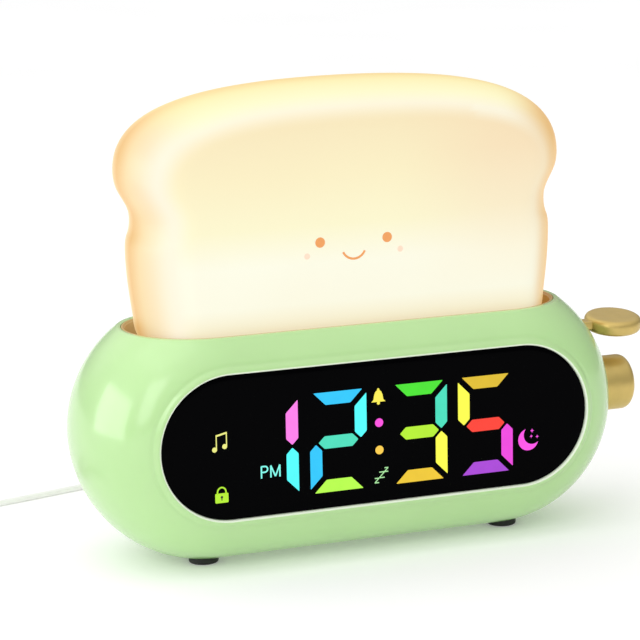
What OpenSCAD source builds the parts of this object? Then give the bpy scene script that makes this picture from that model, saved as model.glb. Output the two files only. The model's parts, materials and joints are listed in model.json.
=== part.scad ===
// Toaster-shaped alarm clock with a glowing bread-slice night light.
// The body is a pill lying on its side. Every piece is drawn about the pill's centre and then
// lifted on to the floor, with the middle of the whole clock's footprint at the origin.

/* [Body] */
// Width of the pill, end to end
body_w = 190; // [175:1:215]
// Full height of the pill, before its underside is flattened
body_h = 87; // [84:1:92]
// Depth from the front face to the back face
body_d = 65; // [62:1:72]
// Radius where the flat faces turn into the bulge
face_r = 23; // [22:0.5:23.5]
// Wall thickness of the two mouldings
wall = 2.4; // [2:0.1:3]
// Depth behind the middle at which the two mouldings part
split_y = 20; // [19:0.5:21]
// Height of the flat underside below the pill's centre
base_drop = 41.5; // [40.5:0.1:42.2]
// Gap between mouldings that fit into each other
fit = 0.15; // [0.1:0.05:0.25]

/* [Bread slot] */
// Height of the slot's mouth above the pill's centre
mouth_z = 34.8; // [34:0.2:36]
// Width of the flat rim left around the mouth
rim_w = 1.1; // [0.8:0.1:1.6]
// Depth of the slot from the mouth to its floor
slot_depth = 8.6; // [7.5:0.1:9]
// Thickness of the slot liner
liner_wall = 1.2; // [1:0.1:1.4]

/* [Bread lamp] */
// Width across the shoulders of the slice
bread_w = 154.4; // [148:0.2:160]
// Height of the crown above the pill's centre
bread_top = 114; // [105:1:125]
// Gap between the slice and the slot's walls
bread_gap = 1.35; // [1.2:0.05:2]
// How far the rounded edge reaches into the face
bread_round = 15.4; // [15:0.2:18]
// Wall of the moulded shade
bread_wall = 1.8; // [1.4:0.1:2.4]
// Number of light-emitting diodes in each of the two rows
lamp_led_count = 6; // [4:1:8]

/* [Display] */
// Radius of the display window's round ends
window_r = 23.9; // [23.5:0.1:24.4]
// Depth of the window's face below the front rim
window_recess = 0.4; // [0.2:0.1:0.8]
// Thickness of the window
window_t = 2; // [1.6:0.1:2.4]
// Width of the raised rim around the window
bead_w = 2.2; // [1.6:0.1:3]
// Height of the raised rim
bead_h = 0.5; // [0.3:0.1:0.8]
// Height of a digit
digit_h = 33.4; // [28:0.2:35]
// Width of a digit
digit_w = 20; // [18:0.2:21]
// Width of a digit's bars
bar_w = 4.2; // [3.6:0.1:4.6]
// Gap between the ends of neighbouring bars
bar_gap = 0.9; // [0.6:0.1:1.2]

/* [Knob] */
// Diameter of the knob
knob_d = 19.3; // [17:0.1:20]
// Length of the knob along its axis
knob_len = 11.6; // [10:0.2:13]
// Gap between the knob and the body's end
knob_gap = 0.8; // [0.6:0.1:1.2]
// Diameter of the encoder's shaft
shaft_d = 6; // [5.8:0.1:6.4]

/* [Lever] */
// Diameter of the lever's round paddle
paddle_d = 20; // [18:0.5:20.5]
// Thickness of the paddle
paddle_t = 5.2; // [4:0.2:5.6]
// Height of the paddle above the pill's centre
lever_z = 21.6; // [21:0.1:22]
// Travel of the lever when it is pressed
lever_travel = 4; // [3:0.2:4]
// Forward tilt of the paddle in degrees
paddle_tilt = 8; // [0:1:10]
// Width of the lever's neck
neck_w = 6; // [5:0.5:7]
// Thickness of the lever's neck
neck_t = 3; // [2.6:0.1:3.2]
// Diameter of the return spring
spring_d = 4.4; // [4:0.1:4.8]

/* [Rear] */
// Diameter of a rear button
button_d = 8; // [7:0.5:9]
// Spacing of the rear buttons
button_pitch = 12; // [11:0.5:12.5]
// Travel of a rear button
button_travel = 0.8; // [0.5:0.1:1]
// How far a rear button stands proud
button_proud = 0.6; // [0.4:0.1:1]
// Diameter of the speaker
speaker_d = 28; // [26:0.5:29]
// Diameter of a hole in the speaker grille
grille_hole_d = 1.8; // [1.4:0.1:2]
// Diameter of the battery door
door_d = 26.6; // [25.6:0.2:27]
// Diameter of the coin cell
cell_d = 20; // [19:0.5:20]

/* [Feet and screws] */
// Diameter of a rubber foot
foot_d = 10; // [8:0.5:10.5]
// Height of a foot below the underside
foot_h = 2; // [1.5:0.1:3]
// Distance from the middle to a foot along the width
foot_x = 54.5; // [48:0.5:56]
// Distance from the middle to a foot along the depth
foot_y = 9.5; // [8:0.5:9.5]
// Diameter of a screw boss
boss_d = 6; // [5.4:0.1:6.4]
// Diameter of the screws
screw_d = 2.4; // [2:0.1:2.6]

/* [Cord] */
// Outside diameter of the power cord
cord_d = 2.2; // [2:0.1:2.6]
// Diameter across the middle of the coil's turns
coil_d = 26; // [24:0.5:28]
// Turns beside and above each other in the coil
coil_rows = 4; // [4:1:4]

/* [Hidden] */

$fn = 64;
body_r = body_h / 2;
half_len = body_w / 2 - body_r;
half_d = body_d / 2;
bulge = body_r - face_r;
arc_steps = 12;

// Size of the flat mouth that the cut leaves in the bulging top.
mouth_half_y = half_d * sqrt(1 - pow((mouth_z - face_r) / bulge, 2));
mouth_half_x = sqrt(pow(body_r, 2) - pow(mouth_z, 2));
pocket_r = min(mouth_half_x, mouth_half_y) - rim_w;
liner_r = pocket_r - fit;
slot_r = liner_r - liner_wall;
slot_floor_z = mouth_z - slot_depth;
liner_floor_t = 1.6;

// Bread slice: the shoulder, the notch under it and the cheek below set the outline.
bread_half = bread_w / 2;
bread_foot_z = slot_floor_z + 0.3;
bread_rise = bread_top - mouth_z;
shoulder_z = mouth_z + 0.648 * bread_rise;
notch_z = mouth_z + 0.449 * bread_rise;
cheek_z = mouth_z + 0.316 * bread_rise;
notch_x = bread_half - 5.2;
cheek_x = bread_half - 3.4;
foot_half = min(bread_half - 5.5, half_len + slot_r - bread_gap - 2.1);
bread_t = 2 * (slot_r - bread_gap);
bread_mid_z = (shoulder_z + notch_z) / 2;
slice_steps = 12;

// Lamp: a base with a collar and a board, screwed through the liner's floor.
lamp_screw_x = 30;
lamp_plate_t = 2.4;
collar_h = 5;
lamp_half_x = foot_half - bread_round - bread_wall;
lamp_r = bread_t / 2 - bread_wall - 2 * fit - 0.6;
lamp_straight = lamp_half_x - lamp_r + 12;
lamp_board_z = slot_floor_z + lamp_plate_t;

// Display: the window drops into the front opening and its flange sits behind the wall.
ledge_y = -(half_d - wall);
window_face_y = -(half_d - window_recess);
flange_w = 1.5;
flange_t = 1;
inlay_t = 1.2;
reflector_t = 8;
reflector_y = ledge_y + flange_t;
board_t = 1.6;
display_board_y = reflector_y + reflector_t;
display_boss_r = window_r + 4.8;
display_boss_turn = 41.5;
display_boss_x = half_len + display_boss_r * cos(display_boss_turn);
display_boss_z = display_boss_r * sin(display_boss_turn);
digit_mid_z = -1.75;
digit_pitch = 24;
colon_x = -0.3;
colon_half = 14.4;
digit_x = [colon_x - colon_half - digit_pitch, colon_x - colon_half, colon_x + colon_half,
    colon_x + colon_half + digit_pitch];
colon_r = 1.45;
colon_at = [[colon_x, 2.9], [colon_x, -6.3]];
reflector_w = 2 * (half_len + 8);
reflector_h = 2 * (window_r - 4.5);
lit_bars = [[1, 2], [0, 1, 3, 4, 6], [0, 1, 2, 3, 6], [0, 2, 3, 5, 6]];

// Encoder and knob on the right end.
end_x = body_w / 2;
encoder_face_x = end_x - wall - 3.6;
encoder_body_t = 4.6;
encoder_w = 12;
bushing_r = 3.5 + shaft_d / 2 - 3;
shaft_r = shaft_d / 2;
running = 0.05;
nut_t = 2;
nut_w = 10;
knob_x = end_x + knob_gap;
knob_hollow = 3.4;
shaft_end_x = knob_x + knob_len - 2.6;

// Lever: paddle outside, neck through the slot, carriage on a guide inside.
paddle_x = end_x + 7.7;
guide_x = half_len + liner_r + 0.6;
guide_wall = 1.4;
carriage_x = guide_x + guide_wall + fit;
carriage_len = 5.2;
carriage_w = 12;
carriage_top = lever_z + 2.5;
carriage_low = lever_z - 6;
guide_floor = carriage_low - 13.6;
spring_y = -3;
spring_low = guide_floor + guide_wall;
spring_top = carriage_low + 1.2;
spring_turns = 6;
spring_wire = 0.5;
switch_y = 3.4;
slot_play = 0.3;

// Rear panel.
rear_in_y = half_d - wall;
control_board_y = half_d - 11.7;
switch_t = 3.5;
switch_stem = 1;
switch_top_y = control_board_y + board_t + switch_t;
button_z = 13.5;
control_post_x = 25;
control_post_z = -14;
control_screw_r = 0.8;
control_post_r = 2;
flange_y = rear_in_y - 1.3;
speaker_x = -46;
speaker_z = -4;
speaker_depth = 12;
speaker_ring_h = 4;
speaker_ring_t = 1.5;
gasket_t = 0.6;
grille_rings = 3;
grille_pitch = 4;
battery_x = 43;
battery_z = -4;
door_recess = 0.3;
door_t = 2;
cell_t = 3.2;
door_face_y = half_d - door_recess;
cell_y = door_face_y - door_t - 0.3 - cell_t;
door_screw_r = 0.7;
door_screw_offset = (cell_d / 2 + 0.4 + door_d / 2) / 2;
socket_z = -13;
socket_r = 1.63;
socket_half = 2.84;
screw_head_y = split_y + 3;
housing_screw_len = 12;
foot_sink = 0.8;
housing_screw_x = half_len + 28.5;
housing_screw_at = [[-housing_screw_x, -16], [housing_screw_x, -16], [-30, -33], [30, -33]];

// Cord, in the same frame as the body: leaves the plug, comes down to the floor, runs left.
floor_z = -(base_drop + foot_h);
cord_r = cord_d / 2;
plug_y = half_d + 0.2;
plug_len = 16;
relief_len = 16;
cord_exit_y = plug_y + plug_len + relief_len;
coil_at = [-134, 68.4];
coil_w = coil_rows * cord_d;
usb_grip = [15.6, 7.2, 20];
usb_shell = [12, 4.5, 12];
usb_shell_t = 0.4;
usb_tongue_h = 0.2;
usb_tail = 6;
usb_tail_r = cord_r + 0.35;
usb_gap = 0.3;
coil_out = coil_d / 2 + coil_w / 2;
// Depth where the ring's edge passes the near side of the tail.
usb_edge_y = coil_at[1] - sqrt(pow(coil_out, 2) - pow(coil_out - cord_r - usb_tail_r, 2));
cord_route = [
    [0, 0, 0], [0, 3, 0], [-0.3, 8, -0.8], [-1.4, 14, -4.2], [-3.2, 20, -10.5], [-5.5, 26, -18],
    [-8.5, 31.5, -24.5], [-13, 36, -28], [-19, 39, -29.4], [-27, 40.2, -29.4],
    [-37, 39.3, -29.4], [-50, 36.5, -29.4], [-65.8, 32.2, -29.4], [-82, 27.5, -29.4],
    [-98.4, 23, -29.4], [-111, 20.6, -29.4], [-125.2, 20, -29.4]];

// The paddle reaches further out than the far end, so the footprint's middle lies off centre.
reach_x = paddle_x + paddle_d / 2;
origin_shift = [(end_x - reach_x) / 2, 0, -floor_z];

module in_place() {
    translate(origin_shift)
        children();
}

// ---------- profiles ----------

// Half profile of the pill, from front to back, as [radius, depth] points on a bulging arc.
function pill_arc(inset) = [for (i = [0:2 * arc_steps])
    let (a = -90 + 90 * i / arc_steps)
    [face_r + (bulge - inset) * cos(a), (half_d - inset) * sin(a)]];

function mirrored(points) = [for (i = [len(points) - 1:-1:0]) [points[i][0], -points[i][1]]];

// Solid with a stadium outline: a half profile run along the width and turned at both ends.
module pill(points, straight = half_len) {
    ends = concat([[0, points[0][1]]], points, [[0, points[len(points) - 1][1]]]);
    side = [for (p = ends) [p[1], p[0]]];
    rotate([90, 0, 90])
        translate([0, 0, -straight])
            linear_extrude(2 * straight)
                polygon(concat(side, mirrored(points_swapped(points))));
    for (turn = [-90, 90])
        translate([-turn / 90 * straight, 0, 0])
            rotate([-90, 0, 0])
                rotate([0, 0, turn])
                    rotate_extrude(angle = 180)
                        polygon(ends);
}

function points_swapped(points) = [for (p = points) [p[1], p[0]]];

// Stadium plate facing along the depth, between two depths.
module stadium_y(r, y0, y1, straight = half_len) {
    pill([[r, y0], [r, y1]], straight);
}

// Stadium plate facing up, between two heights.
module stadium_z(r, z0, z1, straight = half_len) {
    translate([0, 0, z0])
        linear_extrude(z1 - z0)
            stadium_2d(r, straight);
}

module stadium_2d(r, straight) {
    square([2 * straight, 2 * r], center = true);
    for (side = [-1, 1])
        translate([side * straight, 0])
            circle(r);
}

// Round bar along the depth.
module rod_y(r, y0, y1, x = 0, z = 0) {
    translate([x, y0, z])
        rotate([-90, 0, 0])
            cylinder(r = r, h = y1 - y0);
}

// Round bar along the width. Its seam is turned off the pill's planes of symmetry.
module rod_x(r, x0, x1, y = 0, z = 0) {
    translate([x0, y, z])
        rotate([0, 90, 0])
            rotate([0, 0, 37])
                cylinder(r = r, h = x1 - x0);
}

module block(low, high) {
    translate(low)
        cube(high - low);
}

// Plate with round corners facing along the depth.
module round_plate_y(w, h, r, y0, y1) {
    translate([0, y0, 0])
        rotate([-90, 0, 0])
            linear_extrude(y1 - y0)
                round_rect(w, h, r);
}

module round_rect(w, h, r) {
    square([w - 2 * r, h], center = true);
    square([w, h - 2 * r], center = true);
    for (sx = [-1, 1], sy = [-1, 1])
        translate([sx * (w / 2 - r), sy * (h / 2 - r)])
            circle(r);
}

// ---------- housing ----------

// Outer form of both mouldings: the pill, cut flat at the mouth and underneath, with its rim.
module body_form() {
    difference() {
        union() {
            pill(pill_arc(0));
            stadium_y(window_r + bead_w, -(half_d + bead_h), -half_d + 2 * bead_h);
        }
        block([-body_w, -body_d, mouth_z], [body_w, body_d, body_h]);
        block([-body_w, -body_d, -body_h], [body_w, body_d, -base_drop]);
    }
}

// Hollow inside the walls, kept one wall above the flat underside.
module cavity_form(inset) {
    difference() {
        pill(pill_arc(inset));
        block([-body_w, -body_d, -body_h], [body_w, body_d, wall - base_drop]);
    }
}

module slot_pocket() {
    stadium_z(pocket_r, slot_floor_z - 6, mouth_z + 2);
}

module behind(y) {
    block([-body_w, y, -body_h], [body_w, body_d, body_h]);
}

module ahead_of(y) {
    block([-body_w, -body_d, -body_h], [body_w, y, body_h]);
}

module feet_pockets() {
    for (sx = [-1, 1], sy = [-1, 1])
        translate([sx * foot_x, sy * foot_y, -base_drop - 1])
            cylinder(r = foot_d / 2 + fit, h = 1 + foot_sink);
}

module housing_bosses(r, y0, y1) {
    for (at = housing_screw_at)
        rod_y(r, y0, y1, at[0], at[1]);
}

// Walls and posts inside the front moulding, all trimmed to its inner face.
module front_inner_parts() {
    intersection() {
        union() {
            housing_bosses(boss_d / 2, -half_d, split_y - fit);
            for (sx = [-1, 1], sz = [-1, 1])
                rod_y(boss_d / 2 - 0.3, -half_d, display_board_y, sx * display_boss_x,
                    sz * display_boss_z);
            rod_x(bushing_r + 3.5, encoder_face_x, end_x - 1, 0, 0);
        }
        pill(pill_arc(wall / 2));
    }
}

module front_shell() {
    color("#c9efb4") in_place()
        difference() {
            union() {
                difference() {
                    body_form();
                    cavity_form(wall);
                }
                front_inner_parts();
            }
            behind(split_y);
            stadium_y(window_r, -body_d, 0);
            stadium_y(window_r + flange_w + fit, ledge_y, 0);
            slot_pocket();
            feet_pockets();
            housing_bosses(screw_d / 2 - 0.3, split_y - 12, split_y + 1);
            for (sx = [-1, 1], sz = [-1, 1])
                rod_y(screw_d / 2 - 0.3, display_board_y - 5, display_board_y + 1,
                    sx * display_boss_x, sz * display_boss_z);
            rod_x(bushing_r + fit, encoder_face_x - 1, end_x + 1);
            lever_slot();
        }
}

// Slot in the right end that the lever's neck slides in.
module lever_slot() {
    block([guide_x + guide_wall, -neck_w / 2 - slot_play,
            lever_z - lever_travel - neck_t / 2 - slot_play],
        [body_w, neck_w / 2 + slot_play, lever_z + neck_t / 2 + slot_play]);
}

// Tongue around the rear moulding that slides inside the front one.
module cover_tongue() {
    tongue_len = 3;
    tongue_t = 1.2;
    intersection() {
        difference() {
            cavity_form(wall + fit);
            cavity_form(wall + tongue_t);
            housing_bosses(boss_d / 2 + 0.4, -half_d, split_y + 0.01);
        }
        block([-body_w, split_y - tongue_len, -body_h],
            [body_w, split_y + 1.5, slot_floor_z - 2]);
    }
}

// Round holes of the speaker grille, in rings around the middle one.
module grille_holes() {
    for (ring = [0:grille_rings])
        for (i = [0:max(1, 6 * ring) - 1])
            rod_y(grille_hole_d / 2, half_d - wall - 1, half_d + 1,
                speaker_x + grille_pitch * ring * cos(60 * i / max(1, ring)),
                speaker_z + grille_pitch * ring * sin(60 * i / max(1, ring)));
}

function button_x(i) = (i - 2) * button_pitch;

module cover_openings() {
    for (i = [0:4])
        rod_y(button_d / 2 + 0.2, half_d - wall - 1, half_d + 1, button_x(i), button_z);
    rod_y(door_d / 2 + fit, half_d - wall - 1, half_d + 1, battery_x, battery_z);
    translate([0, 0, socket_z])
        stadium_y(socket_r + fit, half_d - wall - 1, half_d + 1, socket_half);
    housing_bosses(screw_d / 2 + 0.2, split_y - 1, body_d);
    housing_bosses(screw_d / 2 + 1.2, screw_head_y, body_d);
    grille_holes();
}

module rear_cover() {
    color("#c9efb4") in_place()
        difference() {
            union() {
                difference() {
                    body_form();
                    cavity_form(wall);
                    ahead_of(split_y);
                }
                cover_tongue();
                intersection() {
                    union() {
                        housing_bosses(boss_d / 2, split_y, half_d);
                        difference() {
                            rod_y(speaker_d / 2 + speaker_ring_t, rear_in_y - speaker_ring_h,
                                half_d - 1, speaker_x, speaker_z);
                            rod_y(speaker_d / 2 + fit, rear_in_y - speaker_ring_h - 1,
                                rear_in_y, speaker_x, speaker_z);
                        }
                        for (sx = [-1, 1])
                            rod_y(control_post_r, control_board_y + board_t, half_d - 1,
                                sx * control_post_x, control_post_z);
                    }
                    pill(pill_arc(wall / 2));
                }
            }
            slot_pocket();
            cover_openings();
            for (sx = [-1, 1])
                rod_y(control_screw_r, control_board_y, rear_in_y - 1, sx * control_post_x,
                    control_post_z);
        }
}

// Tray that lines the slot and carries the lamp.
module slot_liner() {
    color("#e2c99a") in_place()
        difference() {
            stadium_z(liner_r, slot_floor_z - liner_floor_t, mouth_z);
            stadium_z(slot_r, slot_floor_z, mouth_z + 1);
            for (side = [-1, 1])
                translate([side * lamp_screw_x, 0, slot_floor_z - 5])
                    cylinder(r = screw_d / 2, h = 10);
        }
}

// ---------- bread lamp ----------

function bez(a, b, c, d, t) = pow(1 - t, 3) * a + 3 * pow(1 - t, 2) * t * b
    + 3 * (1 - t) * pow(t, 2) * c + pow(t, 3) * d;

function curve(p, steps) = [for (i = [1:steps]) bez(p[0], p[1], p[2], p[3], i / steps)];

// Right half of the slice's outline, from its foot up over the shoulder to the crown.
function slice_half(o) = concat(
    [[foot_half - o, bread_foot_z], [foot_half - o, mouth_z + 0.5]],
    curve([[foot_half - o, mouth_z + 0.5], [foot_half + 0.6 - o, mouth_z + 5],
        [cheek_x - o, cheek_z - 10], [cheek_x - o, cheek_z]], 4),
    curve([[cheek_x - o, cheek_z], [cheek_x - o, cheek_z + 6],
        [notch_x - o, notch_z - 6], [notch_x - o, notch_z]], 4),
    curve([[notch_x - o, notch_z], [notch_x - o, notch_z + 6],
        [bread_half - o, shoulder_z - 8], [bread_half - o, shoulder_z]], 5),
    curve([[bread_half - o, shoulder_z], [bread_half - o, bread_top - 7.8 - o],
        [0.686 * bread_half, bread_top - o], [0, bread_top - o]], 10));

function slice_outline(o) = let (half = slice_half(o)) concat(half,
    [for (i = [len(half) - 2:-1:0]) [-half[i][0], half[i][1]]]);

// One ring of the pillow: the outline drawn in towards the face as the depth grows.
function slice_ring(outline, reach, depth, a) = [for (p = outline)
    [p[0] * (1 - reach / foot_half * (1 - cos(a))), depth * sin(a),
        p[1] <= bread_mid_z ? p[1]
        : bread_mid_z + (p[1] - bread_mid_z)
            * (1 - reach / (bread_top - bread_mid_z) * (1 - cos(a)))]];

// Points of the pillow, drawn in by an offset on every side, ring after ring from front to back.
function slice_points(o) = [for (j = [0:slice_steps]) for (p = slice_ring(slice_outline(o),
    bread_round - o, bread_t / 2 - o, -90 + 180 * j / slice_steps)) p];

// Hollow moulding, open underneath: an outer skin, an inner skin and the rim between them.
module bread_shade() {
    outer = slice_points(0);
    inner = slice_points(bread_wall);
    n = len(slice_outline(0));
    last = slice_steps * n;
    more = len(outer);
    skin = [for (j = [0:slice_steps - 1]) for (i = [0:n - 2]) for (half = [0, 1])
        half == 0 ? [j * n + i, j * n + i + 1, (j + 1) * n + i + 1]
        : [j * n + i, (j + 1) * n + i + 1, (j + 1) * n + i]];
    caps = [[for (i = [n - 1:-1:0]) i], [for (i = [0:n - 1]) last + i]];
    inside = [for (f = concat(skin, caps)) [for (k = [len(f) - 1:-1:0]) f[k] + more]];
    side_rims = [for (j = [0:slice_steps - 1]) for (left = [0, 1])
        left == 0 ? [j * n, (j + 1) * n, (j + 1) * n + more, j * n + more]
        : [(j + 2) * n - 1, (j + 1) * n - 1, (j + 1) * n - 1 + more, (j + 2) * n - 1 + more]];
    end_rims = [[n - 1, 0, more, n - 1 + more],
        [last, last + n - 1, last + n - 1 + more, last + more]];
    color("#fdf0c4") in_place()
        polyhedron(concat(outer, inner), concat(skin, caps, inside, side_rims, end_rims),
            convexity = 6);
}

module lamp_base() {
    color("white") in_place()
        difference() {
            stadium_z(lamp_r, slot_floor_z, slot_floor_z + lamp_plate_t + collar_h,
                lamp_straight);
            stadium_z(lamp_r - 1.2, slot_floor_z + lamp_plate_t,
                slot_floor_z + lamp_plate_t + collar_h + 1, lamp_straight);
            for (side = [-1, 1])
                translate([side * lamp_screw_x, 0, slot_floor_z - 1])
                    cylinder(r = screw_d / 2, h = 10);
        }
}

module lamp_board() {
    color("#f2f2ee") in_place()
        stadium_z(lamp_r - 1.5, lamp_board_z, lamp_board_z + board_t, lamp_straight);
}

module lamp_leds() {
    led = [3.5, 2.8, 1.2];
    pitch = 2 * lamp_straight / max(1, lamp_led_count - 1);
    color("#fff4b0") in_place()
        for (i = [0:lamp_led_count - 1], row = [-1, 1])
            translate([(i - (lamp_led_count - 1) / 2) * pitch - led[0] / 2,
                    row * lamp_r / 2 - led[1] / 2, lamp_board_z + board_t])
                cube(led);
}

// ---------- display ----------

// Outline of one bar of a seven-bar digit, numbered clockwise from the top, the middle one last.
function bar_shape(i) = let (w = digit_w / 2, h = digit_h / 2, t = bar_w, g = bar_gap)
    i == 0 ? [[-w + 1.6 * g, h], [w - 1.6 * g, h], [w - 1.6 * g - t, h - t],
        [-w + 1.6 * g + t, h - t]]
    : i == 6 ? [[-w + t / 2 + g, 0], [-w + t + g, t / 2], [w - t - g, t / 2], [w - t / 2 - g, 0],
        [w - t - g, -t / 2], [-w + t + g, -t / 2]]
    : i == 1 ? [[w, h - 1.6 * g], [w - t, h - 1.6 * g - t], [w - t, g / 2 + t / 2],
        [w - t / 2, g / 2], [w, g / 2 + t / 2]]
    : i == 5 ? [for (p = bar_shape(1)) [-p[0], p[1]]]
    : i == 2 ? [for (p = bar_shape(1)) [p[0], -p[1]]]
    : i == 4 ? [for (p = bar_shape(1)) [-p[0], -p[1]]]
    : [for (p = bar_shape(0)) [p[0], -p[1]]];

module digit_bars(y0, y1, all_bars = false) {
    for (d = [0:3])
        for (i = all_bars ? [0:6] : lit_bars[d])
            translate([digit_x[d], y1, digit_mid_z])
                rotate([90, 0, 0])
                    linear_extrude(y1 - y0)
                        polygon(bar_shape(i));
}

module colon_dots(y0, y1) {
    for (at = colon_at)
        rod_y(colon_r, y0, y1, at[0], at[1]);
}

module display_window() {
    color("#111111") in_place()
        difference() {
            union() {
                stadium_y(window_r - fit, window_face_y, ledge_y + flange_t);
                stadium_y(window_r + flange_w, ledge_y, ledge_y + flange_t);
            }
            digit_bars(window_face_y - 1, window_face_y + inlay_t);
            colon_dots(window_face_y - 1, window_face_y + inlay_t);
        }
}

module lit_digits() {
    color("#30e0f0") in_place()
        digit_bars(window_face_y, window_face_y + inlay_t);
}

module lit_colon() {
    color("#ff60e0") in_place()
        colon_dots(window_face_y, window_face_y + inlay_t);
}

// Block behind the window with one light well for every bar of the four digits.
module display_reflector() {
    color("#f4f4f4") in_place()
        difference() {
            round_plate_y(reflector_w, reflector_h, 4, reflector_y, display_board_y);
            digit_bars(reflector_y - 1, display_board_y + 1, all_bars = true);
            colon_dots(reflector_y - 1, display_board_y + 1);
        }
}

module display_board() {
    ears = 2 * (display_boss_x + 3);
    color("#1f6b3a") in_place()
        difference() {
            round_plate_y(ears, 2 * (display_boss_z + 3), 4, display_board_y,
                display_board_y + board_t);
            for (sx = [-1, 1], sz = [-1, 1])
                rod_y(screw_d / 2, display_board_y - 1, display_board_y + board_t + 1,
                    sx * display_boss_x, sz * display_boss_z);
        }
}

// Pan-head screw along the depth, its head at the rear.
module screw_y(head_y, len, x, z, shank_r) {
    rod_y(shank_r, head_y - len, head_y + 0.2, x, z);
    rod_y(screw_d * 0.45 + 1, head_y, head_y + 1.4, x, z);
}

module board_screws() {
    color("silver") in_place() {
        for (sx = [-1, 1], sz = [-1, 1])
            screw_y(display_board_y + board_t, 5.5, sx * display_boss_x, sz * display_boss_z,
                screw_d / 2 - 0.3);
        for (side = [-1, 1]) {
            rod_y(control_screw_r, control_board_y - 0.2, control_board_y + 5.5,
                side * control_post_x, control_post_z);
            rod_y(screw_d * 0.45 + 1, control_board_y - 1.4, control_board_y,
                side * control_post_x, control_post_z);
        }
        for (side = [-1, 1])
            translate([side * lamp_screw_x, 0, slot_floor_z - liner_floor_t - 1.4]) {
                cylinder(r = screw_d * 0.45 + 1, h = 1.4);
                cylinder(r = screw_d / 2 - 0.3, h = liner_floor_t + lamp_plate_t + 1);
            }
    }
}

// ---------- rear panel ----------

module control_board() {
    board_half = 2.5 * button_pitch - 1;
    color("#1f6b3a") in_place()
        difference() {
            block([-board_half, control_board_y, socket_z - 6],
                [board_half, control_board_y + board_t, button_z + 6]);
            for (sx = [-1, 1])
                rod_y(screw_d / 2, control_board_y - 1, control_board_y + board_t + 1,
                    sx * control_post_x, control_post_z);
        }
}

module tact_switches() {
    size = 6;
    color("#26262a") in_place()
        for (i = [0:4])
            translate([button_x(i), 0, button_z]) {
                block([-size / 2, control_board_y + board_t, -size / 2],
                    [size / 2, switch_top_y, size / 2]);
                rod_y(1.7, switch_top_y - 0.5, switch_top_y + switch_stem);
            }
}

// Domed cap, flange behind the panel and a stem that ends just short of the switch.
module rear_button(i) {
    dome = 0.5;
    r = button_d / 2;
    face = half_d + button_proud;
    cap = [[0, flange_y], [r + 1, flange_y], [r + 1, flange_y + 1.1], [r, flange_y + 1.1],
        [r, face - dome], [r - dome * 0.4, face - dome * 0.35], [r - dome, face], [0, face]];
    color("#d8f3c8") in_place()
        translate([button_x(i), 0, button_z])
            rotate([-90, 0, 0])
                union() {
                    rotate_extrude()
                        polygon(cap);
                    translate([0, 0, switch_top_y + switch_stem + button_travel + 0.1])
                        cylinder(r = 2, h = flange_y - switch_top_y - switch_stem
                            - button_travel + 0.1);
                }
}

module button_mode() { rear_button(0); }
module button_set() { rear_button(1); }
module button_down() { rear_button(2); }
module button_up() { rear_button(3); }
module button_light() { rear_button(4); }

// Loudspeaker: basket rim, cone basket and magnet, facing the grille.
module speaker() {
    face = rear_in_y - gasket_t;
    r = speaker_d / 2;
    d = speaker_depth;
    basket = [[0, face - d], [r * 0.55, face - d], [r * 0.55, face - d * 0.62],
        [r * 0.72, face - d * 0.62], [r * 0.96, face - d / 6], [r, face - d / 6], [r, face],
        [r * 0.86, face], [r * 0.4, face - d * 0.3], [0, face - d * 0.22]];
    color("#2b2b2e") in_place()
        translate([speaker_x, 0, speaker_z])
            rotate([-90, 0, 0])
                rotate_extrude()
                    polygon(basket);
}

module speaker_gasket() {
    color("#3a3a3a") in_place()
        difference() {
            rod_y(speaker_d / 2, rear_in_y - gasket_t, rear_in_y, speaker_x, speaker_z);
            rod_y(speaker_d / 2 - 1.6, rear_in_y - 2, rear_in_y + 1, speaker_x, speaker_z);
        }
}

// Cup behind the battery door, with a flange against the panel's inner face.
module coin_holder() {
    outer = door_d / 2 + fit + 1.4;
    color("#ececec") in_place()
        difference() {
            rod_y(outer, cell_y - 1.6, rear_in_y, battery_x, battery_z);
            rod_y(cell_d / 2 + 0.4, cell_y, rear_in_y + 1, battery_x, battery_z);
            rod_y(door_d / 2 + fit, door_face_y - door_t, rear_in_y + 1, battery_x, battery_z);
            rod_y(door_screw_r, cell_y, rear_in_y + 1, battery_x, battery_z - door_screw_offset);
        }
}

module coin_cell() {
    color("#c9ccd0") in_place()
        union() {
            rod_y(cell_d / 2, cell_y + 0.8, cell_y + cell_t, battery_x, battery_z);
            rod_y(cell_d / 2 - 1.2, cell_y, cell_y + 1, battery_x, battery_z);
        }
}

module battery_door() {
    color("#c9efb4") in_place()
        difference() {
            rod_y(door_d / 2, door_face_y - door_t, door_face_y, battery_x, battery_z);
            rod_y(door_screw_r, door_face_y - door_t - 1, door_face_y + 1, battery_x,
                battery_z - door_screw_offset);
        }
}

module power_socket() {
    color("#b9bcc2") in_place()
        translate([0, 0, socket_z])
            difference() {
                stadium_y(socket_r, control_board_y + board_t, half_d - 1, socket_half);
                stadium_y(socket_r - 0.33, control_board_y + board_t + 1.2, half_d, socket_half);
            }
}

// ---------- knob ----------

module encoder_body() {
    hole = shaft_r + running;
    color("#9aa0a6") in_place()
        difference() {
            union() {
                block([encoder_face_x - encoder_body_t, -encoder_w / 2, -encoder_w / 2],
                    [encoder_face_x, encoder_w / 2, encoder_w / 2]);
                rod_x(bushing_r, encoder_face_x - 1, knob_x + 2.4);
            }
            rod_x(hole, encoder_face_x - 2, knob_x + 3);
        }
}

module encoder_nut() {
    color("#b9bcc2") in_place()
        difference() {
            translate([end_x + 0.3, 0, 0])
                rotate([0, 90, 0])
                    cylinder(d = nut_w, h = nut_t, $fn = 6);
            rod_x(bushing_r + 0.02, end_x, end_x + nut_t + 1);
        }
}

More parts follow.
